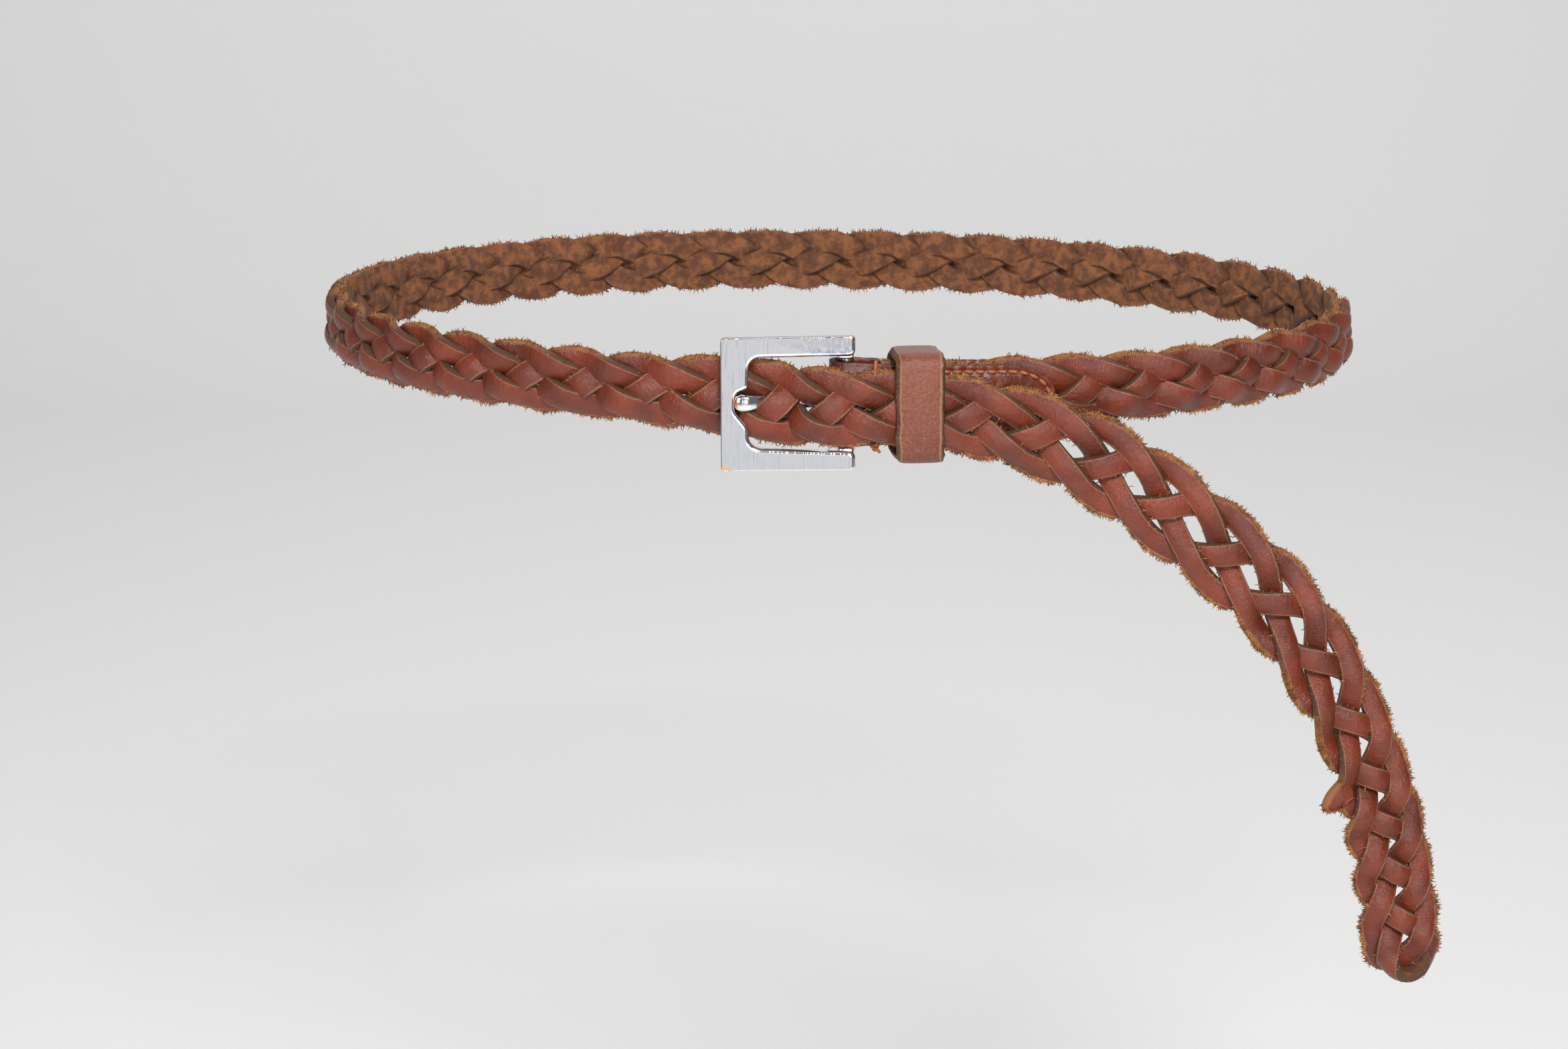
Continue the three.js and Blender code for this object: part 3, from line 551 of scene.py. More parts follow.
def make_leather_relief():
    """The grain's height: pores and hair cells, and fine wrinkles that run across a strip where it bends."""
    group, given, result = node_group(
        "leather_relief",
        [("Place", "NodeSocketVector", None), ("Strip", "NodeSocketVector", None),
         ("Wrinkles", "NodeSocketFloat", 1.0)],
        [("Height", "NodeSocketFloat")],
    )
    pores = noise(group, given.outputs["Place"], 1500, 6.0, 0.72)
    dents = maths(group, "MULTIPLY", noise(group, given.outputs["Place"], 760, 2.0), 1.9)
    stretch = group.nodes.new("ShaderNodeMapping")
    stretch.inputs["Scale"].default_value = (330, 2.6, 1)
    group.links.new(given.outputs["Strip"], stretch.inputs["Vector"])
    wrinkles = noise(group, stretch.outputs["Vector"], 1.0, 3.0, 0.6)
    wrinkled = maths(group, "MULTIPLY", wrinkles, given.outputs["Wrinkles"])
    group.links.new(maths(group, "ADD", maths(group, "ADD", pores, dents), wrinkled), result.inputs["Height"])
    return group


LEATHER_TONE = make_leather_tone()
LEATHER_RELIEF = make_leather_relief()


def place_group(tree, group, **values):
    """A node that uses a group, with its inputs set to sockets, numbers or colours."""
    node = tree.nodes.new("ShaderNodeGroup")
    node.node_tree = group
    for label, value in values.items():
        if isinstance(value, bpy.types.NodeSocket):
            tree.links.new(value, node.inputs[label])
        else:
            node.inputs[label].default_value = value
    return node


def strip_place(tree):
    """The strip's UV map, and its second part, which is how far round the section a point lies."""
    strip = tree.nodes.new("ShaderNodeUVMap")
    strip.uv_map = "UVMap"
    split = tree.nodes.new("ShaderNodeSeparateXYZ")
    tree.links.new(strip.outputs["UV"], split.inputs["Vector"])
    return strip.outputs["UV"], split.outputs["Y"]


def give_relief(tree, shader, height, strength, distance):
    """Turns a height into the shader's normal with a Bump node, whose distance is in metres."""
    bump = tree.nodes.new("ShaderNodeBump")
    bump.inputs["Strength"].default_value = strength
    bump.inputs["Distance"].default_value = distance
    tree.links.new(height, bump.inputs["Height"])
    tree.links.new(bump.outputs["Normal"], shader.inputs["Normal"])


def make_lace_leather():
    """The lace's material. How far round the section a point lies tells grain, cut edge and flesh apart. A pale
    line along the grain's rounded rim is a painted highlight, and where the outside is rubbed in patches the cut edge
    reaches further onto the grain. The cut edges are dark in the braid, their own darker colour deepened by painted
    shade between the laces, and tan along its outside, and the flesh is orange and rough."""
    material, tree, shader = new_material("lace_leather")
    place = object_place(tree)
    strip, round_share = strip_place(tree)
    waver = maths(tree, "MULTIPLY", maths(tree, "SUBTRACT", noise(tree, place, 700, 3.0), 0.5), 0.03)
    from_grain = maths(tree, "ADD", maths(tree, "ABSOLUTE", maths(tree, "SUBTRACT", round_share, 0.5)), waver)
    tone = place_group(tree, LEATHER_TONE, Place=place, Light=(0.205, 0.035, 0.0125, 1), Dark=(0.07, 0.0115, 0.0065, 1))
    outside = tree.nodes.new("ShaderNodeAttribute")
    outside.attribute_name = "outside"
    patches = steps_between(tree, noise(tree, place, 420, 4.0), 0.3, 0.6)
    rubbed = maths(tree, "MULTIPLY", outside.outputs["Fac"], patches)
    from_grain = maths(tree, "ADD", from_grain, maths(tree, "MULTIPLY", rubbed, 0.034))
    # The cut edges are darkest inside the braid: their own darker colour deepened by painted shade between the laces.
    # Along the outside they are tan.
    cut = blend_colours(tree, outside.outputs["Fac"], (0.035, 0.013, 0.009), (0.29, 0.11, 0.032))
    fibres = noise(tree, place, 2300, 4.0, 0.7)
    cut = blend_colours(tree, maths(tree, "MULTIPLY", fibres, 0.4), cut, (0.3, 0.13, 0.05), "MIX")
    edge = steps_between(tree, from_grain, 0.178, 0.192)
    # The pale line along the grain's rim is a painted highlight on the rounded corner.
    rim_up = steps_between(tree, from_grain, 0.158, 0.176)
    rim = maths(tree, "MULTIPLY", maths(tree, "MULTIPLY", rim_up, maths(tree, "SUBTRACT", 1.0, edge)), 0.5)
    flesh = steps_between(tree, from_grain, 0.32, 0.335)
    colour = blend_colours(tree, rim, tone.outputs["Colour"], (0.33, 0.15, 0.085))
    colour = blend_colours(tree, edge, colour, cut)
    raw_patches = steps_between(tree, noise(tree, place, 330, 5.0, 0.65), 0.38, 0.64)
    raw = blend_colours(tree, raw_patches, (0.1, 0.033, 0.014), (0.24, 0.085, 0.027))
    colour = blend_colours(tree, flesh, colour, raw)
    tree.links.new(colour, shader.inputs["Base Color"])
    rough = maths(tree, "ADD", maths(tree, "MULTIPLY", tone.outputs["Mottle"], 0.13), 0.16)
    rough = maths(tree, "ADD", rough, maths(tree, "MULTIPLY", edge, 0.45), clamp=True)
    tree.links.new(rough, shader.inputs["Roughness"])
    shader.inputs["Specular IOR Level"].default_value = 0.42
    relief = place_group(tree, LEATHER_RELIEF, Place=place, Strip=strip, Wrinkles=1.3)
    ragged = maths(tree, "MULTIPLY", maths(tree, "MULTIPLY", fibres, edge), 3.0)
    give_relief(tree, shader, maths(tree, "ADD", relief.outputs["Height"], ragged), 0.6, 0.0003)
    return material


def outside_share(points):
    """How near points lie to the braid's outer edge: the distance across the strap from the nearest station of
    the middle line, over the half width, from 0.72 to 0.95 as 0 to 1. Also how far past the heel bar they lie."""
    middle, half = spine["point"][::3], spine["width"][::3] / 2
    edge = spine["edge"][::3]
    value, past = np.zeros(len(points)), np.zeros(len(points))
    for first in range(0, len(points), 4000):
        part = points[first:first + 4000]
        nearest = np.argmin(((part[:, None] - middle[None]) ** 2).sum(-1), 1)
        across = np.abs(((part - middle[nearest]) * edge[nearest]).sum(-1))
        value[first:first + 4000] = smooth(across / half[nearest], 0.72, 0.95)
        past[first:first + 4000] = spine["from_heel"][::3][nearest]
    return value, past


LACE_LEATHER = make_lace_leather()
lace_grids = []
for lace, out_strand, turn, back_strand, seed in (("lace_a", 3, OUTER_TURN, 1, 11), ("lace_b", 0, INNER_TURN, 2, 12)):
    points, uv, reach = carry_section(lace_path(out_strand, turn, back_strand), lace_section(), seed)
    lace_mesh = mesh_from_grid(lace + "_leather", points, closed_columns=True, uv=uv, caps=True)
    attribute = lace_mesh.attributes.new("outside", "FLOAT", "POINT")
    attribute.data.foreach_set("value", outside_share(points.reshape(-1, 3))[0].astype(np.float32))
    lace_grids.append((points, reach))
    lace_piece = new_object(lace + "_leather", lace_mesh, LACE_LEATHER)
    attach(lace_piece, "root")
    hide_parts(lace)


# Fibres: the cut edges of the laces have roughened, and short tan fibres stand out of them, thickest along the
# outside of the braid.
def tubes_along(paths, normals, radius, sides, plies=0.0, turns=1.5):
    """Carries a ring along many short paths at once, square to each path and starting from its normal. The
    radius is given for each row, and two bulges that turn along the path make the plies."""
    way = unit(np.gradient(paths, axis=1))
    side = square_to(normals, way)
    other = np.cross(way, side)
    rows = paths.shape[1]
    angle = np.linspace(0, 2 * np.pi, sides, endpoint=False)[None, None]
    twist = np.linspace(0, turns * np.pi, rows)[None, :, None]
    reach = np.asarray(radius)[..., None] * (1 + plies * np.cos(2 * (angle - twist)))
    sideways, outwards = (reach * np.cos(angle))[..., None], (reach * np.sin(angle))[..., None]
    return paths[:, :, None] + side[:, :, None] * sideways + other[:, :, None] * outwards


def mesh_from_tubes(name, tubes):
    """Puts many tubes, counted by rows by ring, into one mesh, each closed round and capped at both ends."""
    count, rows, sides = tubes.shape[:3]
    i, j = np.meshgrid(np.arange(rows - 1), np.arange(sides), indexing="ij")
    i, j = i.ravel(), j.ravel()
    after = (j + 1) % sides
    quads = np.stack([i * sides + j, i * sides + after, (i + 1) * sides + after, (i + 1) * sides + j], 1)
    first = np.arange(count)[:, None, None] * rows * sides
    faces = (quads[None] + first).reshape(-1, 4).tolist()
    near, far = np.arange(sides)[::-1], np.arange(sides) + (rows - 1) * sides
    faces += (np.stack([near, far])[None] + first).reshape(-1, sides).tolist()
    mesh = bpy.data.meshes.new(name)
    mesh.from_pydata((tubes.reshape(-1, 3) * 0.001).tolist(), [], faces)
    mesh.polygons.foreach_set("use_smooth", np.ones(len(faces), bool))
    mesh.update()
    return mesh


FIBRES_PER_LACE = 9500
FIBRE_LENGTH = (0.5, 1.7)
FIBRE_RADIUS = 0.16


def lace_fibres(points, reach, generator):
    """Fibres from random places on both cut edges: out along the section, leaning at random, bent once, with
    lengths spread by a power so that most are short. They are kept by the outside share, in full on the free
    end and by a third round the waist."""
    count = FIBRES_PER_LACE * 7
    station = generator.integers(3, len(points) - 3, count)
    right = generator.random(count) < 0.5
    column = np.where(right, generator.integers(4, 8, count), generator.integers(13, 17, count))
    root = points[station, column]
    outside, past = outside_share(root)
    kept = (outside**1.5 + 0.03) * np.where(past > 20, 1.0, 0.33) > generator.random(count)
    station, right, root = (values[kept][:FIBRES_PER_LACE] for values in (station, right, root))
    out = reach[station] * np.where(right, 1, -1)[:, None]
    lean = unit(out + generator.normal(0, 0.45, root.shape))
    bend = unit(lean + generator.normal(0, 0.6, root.shape))
    low, high = FIBRE_LENGTH
    length = (low + (high - low) * generator.random(len(root))[:, None] ** 2.5)
    paths = np.stack([root - 0.15 * lean, root + 0.5 * length * lean, root + 0.5 * length * (lean + bend)], 1)
    normals = np.broadcast_to(generator.normal(0, 1, (len(root), 1, 3)), paths.shape)
    radius = np.broadcast_to(FIBRE_RADIUS * np.array([1.3, 0.9, 0.3]), paths.shape[:2])
    return tubes_along(paths, normals, radius, 3)


def make_fibre_leather():
    """Loose leather fibres: tan to orange brown, changing along the belt, and matt."""
    material, tree, shader = new_material("leather_fibres")
    change = steps_between(tree, noise(tree, object_place(tree), 260, 3.0), 0.4, 0.62)
    tree.links.new(blend_colours(tree, change, (0.18, 0.062, 0.022), (0.4, 0.175, 0.05)), shader.inputs["Base Color"])
    shader.inputs["Roughness"].default_value = 0.8
    return material


FIBRE_LEATHER = make_fibre_leather()
for number, (points, reach) in enumerate(lace_grids):
    fibres = lace_fibres(points, reach, np.random.default_rng(51 + number))
    fibre_piece = new_object(f"lace_fibres_{number + 1}", mesh_from_tubes("lace_fibres", fibres), FIBRE_LEATHER)
    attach(fibre_piece, "root")

# A worn end of lace sticks out of the free end's lower edge, where the braid was spliced: a short stub of the
# same leather, its cut end frayed to a tan brush of fibres.
STUB_FROM_HEEL = 193.0
STUB_KNOTS = [
    [-0.5, 6.0, 0.2], [-1.0, 3.2, 1.6], [-0.8, 0.4, 2.6], [0.2, -1.4, 2.4], [2.0, -2.8, 1.7], [4.0, -3.8, 0.8],
]
STUB_BRUSH = 420


def stub_path():
    """The stub's middle line as a smooth curve through knots, each given along the strap, across it from its
    lower edge, and out of its face, with the strap's own face turned a little up."""
    here = int(np.argmax(spine["from_heel"] >= STUB_FROM_HEEL))
    way, edge, face = spine["way"][here], spine["edge"][here], spine["face"][here]
    rim = spine["point"][here] - edge * spine["width"][here] / 2
    knots = rim + np.asarray(STUB_KNOTS) @ np.stack([way, edge, face])
    point = smooth_line(knots, 22)
    count = len(point)
    return {"point": point, "face": np.repeat(face[None], count, 0), "roll": np.linspace(0.1, -0.5, count),
            "broad": np.linspace(0.9, 1.02, count)}


stub_points, stub_uv, _ = carry_section(stub_path(), lace_section(), 21)
stub_random = np.random.default_rng(22)
torn = np.linspace(0, 1, len(stub_points))[:, None, None] ** 8
stub_points = stub_points + torn * stub_random.normal(0, 0.28, stub_points.shape)
stub_mesh = mesh_from_grid("lace_end", stub_points, closed_columns=True, uv=stub_uv, caps=True)
stub_outside = stub_mesh.attributes.new("outside", "FLOAT", "POINT")
stub_outside.data.foreach_set("value", np.ones(len(stub_mesh.vertices), np.float32))
brush_way = unit(stub_points[-1].mean(0) - stub_points[-4].mean(0))
stub_end = stub_points[-1]
brush_rim = stub_end[stub_random.integers(0, len(stub_end), STUB_BRUSH)]
brush_root = stub_end.mean(0) + (brush_rim - stub_end.mean(0)) * stub_random.random((STUB_BRUSH, 1)) ** 0.5
brush_lean = unit(brush_way + stub_random.normal(0, 0.5, brush_root.shape))
brush_bend = unit(brush_lean + stub_random.normal(0, 0.6, brush_root.shape))
brush_length = 0.4 + 1.1 * stub_random.random((STUB_BRUSH, 1)) ** 2
brush_paths = np.stack([brush_root - 0.3 * brush_lean, brush_root + 0.5 * brush_length * brush_lean,
                        brush_root + 0.5 * brush_length * (brush_lean + brush_bend)], 1)
brush_normals = np.broadcast_to(stub_random.normal(0, 1, (STUB_BRUSH, 1, 3)), brush_paths.shape)
brush_radius = np.broadcast_to(FIBRE_RADIUS * np.array([1.5, 1.1, 0.4]), brush_paths.shape[:2])
brush_mesh = mesh_from_tubes("lace_end_brush", tubes_along(brush_paths, brush_normals, brush_radius, 3))
for stub_name, part, leather in (("lace_end", stub_mesh, LACE_LEATHER), ("lace_end_brush", brush_mesh, FIBRE_LEATHER)):
    stub_piece = new_object(stub_name, part, leather)
    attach(stub_piece, "root")

# The tab: one strip of thin, dark, glossy leather folded round the heel bar, with a slot for the prong in the
# bend and a tongue at each end. The braid starts between its layers, and thick waxed thread sews them together.
TAB_LENGTH = 56.0
TAB_WIDTH = 22.5
TAB_END_WIDTH = 17.0
TAB_THICKNESS = 1.6
TAB_MIDDLE = 4.15
TONGUE_LENGTH = 12.0
HALF_BEND = np.pi / 2 * TAB_MIDDLE
SLOT_HALF_LENGTH = HALF_BEND + 5.25
SLOT_HALF_WIDTH = 2.3
THREAD_RADIUS = 0.53
STITCH_INSET = 1.55
STITCH_STEP = 3.05
CROSS_SEAM = 7.2


def tab_half_width(beyond):
    """Half the strip's width at a distance beyond the bend: an even taper, then a quarter ellipse to its end."""
    straight = (TAB_WIDTH + (TAB_END_WIDTH - TAB_WIDTH) * beyond / TAB_LENGTH) / 2
    from_end = np.clip((TAB_LENGTH - beyond) / TONGUE_LENGTH, 0.0008, 1)
    return straight * np.sqrt(1 - (1 - from_end) ** 2)


def tab_place(along, across, height):
    """A place on the folded strip: along it from the middle of the bend, with the front layer positive, across
    it upwards, and out of its outer side. The layers follow the ellipse and the bend is a half circle."""
    along, across, height = np.broadcast_arrays(along, across, height)
    beyond = np.maximum(np.abs(along) - HALF_BEND, 0)
    middle, face = loop_at(np.arcsin(HEEL_BAR_X / WAIST_HALF_WIDTH) + beyond / WAIST_HALF_WIDTH)
    outward = unit(face * [1, 1, 0])
    way = np.cross([0, 0, 1.0], outward)
    turn = np.clip(along / HALF_BEND, -1, 1)[..., None] * np.pi / 2
    radial = outward * np.sin(turn) - way * np.cos(turn)
    return middle + radial * (TAB_MIDDLE + height)[..., None] + np.cross(face, way) * across[..., None]


def sewing_line():
    """Where a layer is sewn: its outline moved in along its own normal, from the cross seam round the tongue and
    back, as distances beyond the bend and across, an even step apart."""
    beyond = TAB_LENGTH - (TAB_LENGTH - CROSS_SEAM - 2.5) * np.linspace(1, 0, 600) ** 2
    outline = np.stack([beyond, tab_half_width(beyond)], -1)
    way = unit(np.gradient(outline, axis=0))
    inner = outline + STITCH_INSET * np.stack([way[:, 1], -way[:, 0]], -1)
    inner = inner[inner[:, 1] > 0]
    inner = np.concatenate([inner, inner[::-1] * [1, -1]])
    length = lengths_along(inner)
    places = np.arange(0, length[-1], STITCH_STEP)
    return np.stack([np.interp(places, length, inner[:, 0]), np.interp(places, length, inner[:, 1])], -1)


sewing = sewing_line()
sewing_next = sewing + 0.72 * np.roll(sewing, -1, 0) - 0.72 * sewing
cross_across = np.linspace(-9.0, 6.0, 6)
cross_holes = np.stack([np.full(6, CROSS_SEAM), cross_across], -1)
stitch_starts = np.concatenate([sewing[:-1], cross_holes])
stitch_ends = np.concatenate([sewing_next[:-1], cross_holes + [0.2, 2.2]])
stitch_starts = np.concatenate([stitch_starts + [HALF_BEND, 0], -stitch_starts * [1, -1] - [HALF_BEND, 0]])
stitch_ends = np.concatenate([stitch_ends + [HALF_BEND, 0], -stitch_ends * [1, -1] - [HALF_BEND, 0]])
stitch_holes = np.concatenate([stitch_starts, stitch_ends])


def tab_relief(along, across):
    """The leather's rise: a low crown between the seams, puckers a few millimetres long, and a dimple shaped as
    a bell at each stitch hole."""
    crown = 0.22 * np.clip(1 - (across / 8.5) ** 4, -1, 1)
    pucker = 0.13 * np.sin(along * 1.9 + 1.3 * np.sin(across * 0.9)) * np.sin(across * 0.55 + along * 0.4)
    dimples = np.zeros_like(along)
    for hole in stitch_holes:
        dimples += np.exp(-((along - hole[0]) ** 2 + (across - hole[1]) ** 2) / 0.6)
    return crown + pucker * smooth(np.abs(along), HALF_BEND, HALF_BEND + 8) - 0.5 * np.minimum(dimples, 1.2)


def tab_sheet():
    """The strip's middle sheet on a grid of along by across, as two halves that part round the slot, whose
    outline is a straight middle with a half circle at each end."""
    ends = TAB_LENGTH - TONGUE_LENGTH * np.linspace(1, 0, 16) ** 2
    beyond = np.concatenate([np.linspace(0, TAB_LENGTH - TONGUE_LENGTH, 84)[:-1], ends])
    front = beyond + HALF_BEND
    bend = np.linspace(-HALF_BEND, HALF_BEND, 18)[1:-1]
    along = np.concatenate([-front[::-1], bend, front])[:, None]
    half = tab_half_width(np.maximum(np.abs(along) - HALF_BEND, 0))
    to_end = np.clip((np.abs(along) - SLOT_HALF_LENGTH) / SLOT_HALF_WIDTH + 1, 0, 1)
    slot = SLOT_HALF_WIDTH * np.sqrt(1 - to_end**2)
    part = np.linspace(0, 1, 18)[None, :]
    upper = slot + (half - slot) * part
    sheets = []
    for across in (upper[:, ::-1], -upper):
        place = tab_place(along, across, tab_relief(np.broadcast_to(along, across.shape), across))
        sheets.append(place)
    return sheets


def joined_mesh(name, meshes):
    """Joins meshes into one and merges points that lie together."""
    work = bmesh.new()
    for part in meshes:
        work.from_mesh(part)
        bpy.data.meshes.remove(part)
    bmesh.ops.remove_doubles(work, verts=work.verts, dist=1e-6)
    mesh = bpy.data.meshes.new(name)
    work.to_mesh(mesh)
    work.free()
    return mesh


def make_leather(name, light, dark, roughness, wrinkles, bump_strength):
    """A smooth dyed leather with the shared tone and relief, glossier where it is dark."""
    material, tree, shader = new_material(name)
    place = object_place(tree)
    tone = place_group(tree, LEATHER_TONE, Place=place, Light=(*light, 1), Dark=(*dark, 1))
    tree.links.new(tone.outputs["Colour"], shader.inputs["Base Color"])
    rough = maths(tree, "ADD", maths(tree, "MULTIPLY", tone.outputs["Mottle"], 0.16), roughness)
    tree.links.new(rough, shader.inputs["Roughness"])
    relief = place_group(tree, LEATHER_RELIEF, Place=place, Strip=place, Wrinkles=wrinkles)
    give_relief(tree, shader, relief.outputs["Height"], bump_strength, 0.00022)
    return material


def make_cut_edge(name, colour, fibre_colour):
    """A raw cut edge: fibres of a lighter colour over a dark one, matt and ragged."""
    material, tree, shader = new_material(name)
    fibres = noise(tree, object_place(tree), 2300, 4.0, 0.7)
    mixed = blend_colours(tree, steps_between(tree, fibres, 0.4, 0.7), colour, fibre_colour)
    tree.links.new(mixed, shader.inputs["Base Color"])
    shader.inputs["Roughness"].default_value = 0.85
    give_relief(tree, shader, fibres, 0.7, 0.0003)
    return material


TAB_LEATHER = make_leather("tab_leather", (0.17, 0.03, 0.012), (0.07, 0.011, 0.006), 0.16, 0.3, 0.45)
CUT_EDGE = make_cut_edge("cut_edge", (0.045, 0.018, 0.012), (0.2, 0.09, 0.035))
upper_half, lower_half = tab_sheet()
tab_halves = [mesh_from_grid("upper_half", upper_half), mesh_from_grid("lower_half", lower_half)]
tab_mesh = joined_mesh("tab_leather", tab_halves)
tab_piece = new_object("tab_leather", tab_mesh, TAB_LEATHER)
tab_mesh.materials.append(CUT_EDGE)
tab_wall = tab_piece.modifiers.new("wall", "SOLIDIFY")
tab_wall.thickness = TAB_THICKNESS * 0.001
tab_wall.offset = 0
tab_wall.material_offset_rim = 1
tab_rims = tab_piece.modifiers.new("rims", "BEVEL")
tab_rims.width = 0.0003
tab_rims.segments = 2
tab_rims.limit_method = "ANGLE"
tab_rims.angle_limit = np.radians(50)
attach(tab_piece, "root")
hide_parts("tab")


# The thread: two plies of waxed cotton, laid in short stitches round both tongues and across the tab, with one
# stitch over the top edge and a small knot at the bottom edge.
def stitch_tubes():
    """Each stitch's line from hole to hole: level along the leather, and up from 0.5 mm inside it by the cube
    root of a half sine, so that it lies plump on the leather and dives into its holes."""
    part = np.linspace(0, 1, 8)[None, :, None]
    line = stitch_starts[:, None] * (1 - part) + stitch_ends[:, None] * part
    rise = TAB_THICKNESS / 2 - 0.55 + 0.85 * np.cbrt(np.sin(np.pi * part[..., 0]))
    rise = rise + tab_relief(line[..., 0], line[..., 1])
    paths = tab_place(line[..., 0], line[..., 1], rise)
    normals = tab_place(line[..., 0], line[..., 1], rise + 1) - paths
    return tubes_along(paths, normals, np.full(paths.shape[:2], THREAD_RADIUS), 8, 0.14)


def edge_stitch():
    """The stitch over the tab's top edge: half an ellipse round the edge, from the front layer to the back one."""
    turn = np.linspace(-0.15, np.pi / 2 + 0.5, 14)[None]
    edge = tab_half_width(np.array([CROSS_SEAM]))[0]
    across = edge - 1.9 + 2.4 * np.sin(turn)
    height = 1.25 * np.cos(turn) + 0.1
    along = np.full_like(turn, CROSS_SEAM + HALF_BEND) + 0.35 * np.sin(turn)
    paths = tab_place(along, across, height)
    normals = np.broadcast_to(tab_place(along, across, height + 1) - paths, paths.shape)
    normals = normals + np.array([0.3, 0, 0.2])
    return tubes_along(paths, normals, np.full(paths.shape[:2], THREAD_RADIUS * 1.1), 8, 0.14, 4)


def knot_tube():
    """The knot at the tab's bottom edge: a trefoil, (sin t + 2 sin 2t, cos t - 2 cos 2t, -sin 3t), a third of a
    millimetre to each unit, with its ends led out."""
    turn = np.linspace(0.2, 2 * np.pi - 0.1, 40)
    knot = [np.sin(turn) + 2 * np.sin(2 * turn), np.cos(turn) - 2 * np.cos(2 * turn), -np.sin(3 * turn)]
    knot = np.stack(knot, -1) * 0.3
    tail = np.stack([np.linspace(0, 1.5, 5)[1:], -np.linspace(0, 1.2, 5)[1:] ** 1.5, np.linspace(0, 0.3, 5)[1:]], -1)
    knot = np.concatenate([knot, knot[-1] + tail])[None]
    edge = -tab_half_width(np.array([CROSS_SEAM]))[0]
    paths = tab_place(HALF_BEND + CROSS_SEAM + knot[..., 0], edge - 0.1 + knot[..., 1], 1.0 + knot[..., 2])
    normals = np.broadcast_to(np.array([0.31, -0.9, 0.3]), paths.shape)
    return tubes_along(paths, normals, np.full(paths.shape[:2], THREAD_RADIUS * 0.85), 8, 0.1, 8)


def make_thread():
    """Waxed thread: rust orange, darker in its fibres, with a soft sheen."""
    material, tree, shader = new_material("waxed_thread")
    fibres = noise(tree, object_place(tree), 2600, 3.0, 0.6)
    colour = blend_colours(tree, steps_between(tree, fibres, 0.35, 0.65), (0.2, 0.05, 0.018), (0.46, 0.14, 0.045))
    tree.links.new(colour, shader.inputs["Base Color"])
    shader.inputs["Roughness"].default_value = 0.55
    give_relief(tree, shader, fibres, 0.4, 0.0001)
    return material


THREAD = make_thread()
threads = (("tab_stitches", stitch_tubes()), ("edge_stitch", edge_stitch()), ("thread_knot", knot_tube()))
for thread_name, tubes in threads:
    thread_piece = new_object(thread_name, mesh_from_tubes(thread_name, tubes), THREAD)
    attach(thread_piece, "root")


# The buckle: a flat square front cast in zinc and plated, open at its heel end, with polished rounds along its
# window and arm ends and a notch that the prong rests in. Two lugs behind the arms hold the heel bar.
BUCKLE_HEIGHT = 35.4
BUCKLE_LEFT = -17.35
BUCKLE_RIGHT = 18.4
BUCKLE_TURN = np.radians(0.5)
BAR_INSIDE = -10.0
ARM_WIDTH = 5.6
ARM_END_WIDTH = 4.9
PLATE_BACK = 5.1
PLATE_THICKNESS = 2.5
NOTCH_DEPTH = 3.5
LUG_WIDTH = 4.4
LUG_HEIGHT = 3.9
LUG_PLACE = 13.75
LUG_POWER = 5
HEEL_BAR_RADIUS = 2.0

buckle_origin, buckle_axes = frame_at_x(BUCKLE_CENTRE_X)
heel_in_buckle = buckle_axes @ (loop_at(np.arcsin(HEEL_BAR_X / WAIST_HALF_WIDTH))[0] - buckle_origin)


def buckle_place(local, turn=BUCKLE_TURN):
    """Turns the buckle's own X, Y and Z about its face's normal, then sets them along the belt, up and out."""
    cos, sin = np.cos(turn), np.sin(turn)
    x, y, z = local[..., 0], local[..., 1], local[..., 2]
    return buckle_origin + np.stack([x * cos - y * sin, x * sin + y * cos, z], -1) @ buckle_axes


def filleted(corners, step):
    """A closed outline from corners given as X, Y and radius: an arc at each corner that meets both sides, and
    points an even step apart along it all."""
    corners = np.asarray(corners, float)
    place, radius = corners[:, :2], corners[:, 2]
    to_last, to_next = unit(np.roll(place, 1, 0) - place), unit(np.roll(place, -1, 0) - place)
    half = np.arccos(np.clip(np.sum(to_last * to_next, 1), -1, 1)) / 2
    bisector = unit(to_last + to_next)
    centre = place + bisector * (radius / np.sin(half))[:, None]
    start, end = (place + way * (radius / np.tan(half))[:, None] - centre for way in (to_last, to_next))
    part = np.linspace(0, 1, 12)[None, :, None]
    span = np.pi - 2 * half[:, None, None]
    arcs = (start[:, None] * np.sin((1 - part) * span) + end[:, None] * np.sin(part * span)) / np.sin(span)
    line = (centre[:, None] + arcs).reshape(-1, 2)
    line = np.concatenate([line, line[:1]])
    length = lengths_along(line)
    places = np.linspace(0, length[-1], round(length[-1] / step), endpoint=False)
    return np.stack([np.interp(places, length, line[:, 0]), np.interp(places, length, line[:, 1])], -1)


def plate_with_rounds(outline, round_width, back, front):
    """A plate with an outline whose front rim is a quarter ellipse of a given width at each point and whose back
    rim is a small round. The outline moves in along its own normal. Returns rows of rings from back to front."""
    ahead = unit(np.roll(outline, -1, 0) - np.roll(outline, 1, 0))
    inward = np.stack([-ahead[:, 1], ahead[:, 0]], -1)
    turn = np.linspace(0, np.pi / 2, 7)
    front_in = np.concatenate([1 - np.cos(turn), [1.06]])
    front_down = np.concatenate([1 - np.sin(turn), [0]])
    back_in = np.array([0.55, 0.4, 0.12, 0])
    back_up = np.array([0, 0, 0.12, 0.4])
    rings = []
    for move, up in zip(back_in, back_up):
        rings.append(np.column_stack([outline + inward * move, np.full(len(outline), back + up)]))
    for move, down in zip(front_in, front_down):
        height = front - down * np.minimum(round_width, 0.9)
        rings.append(np.column_stack([outline + inward * (move * round_width)[:, None], height]))
    return np.stack(rings)


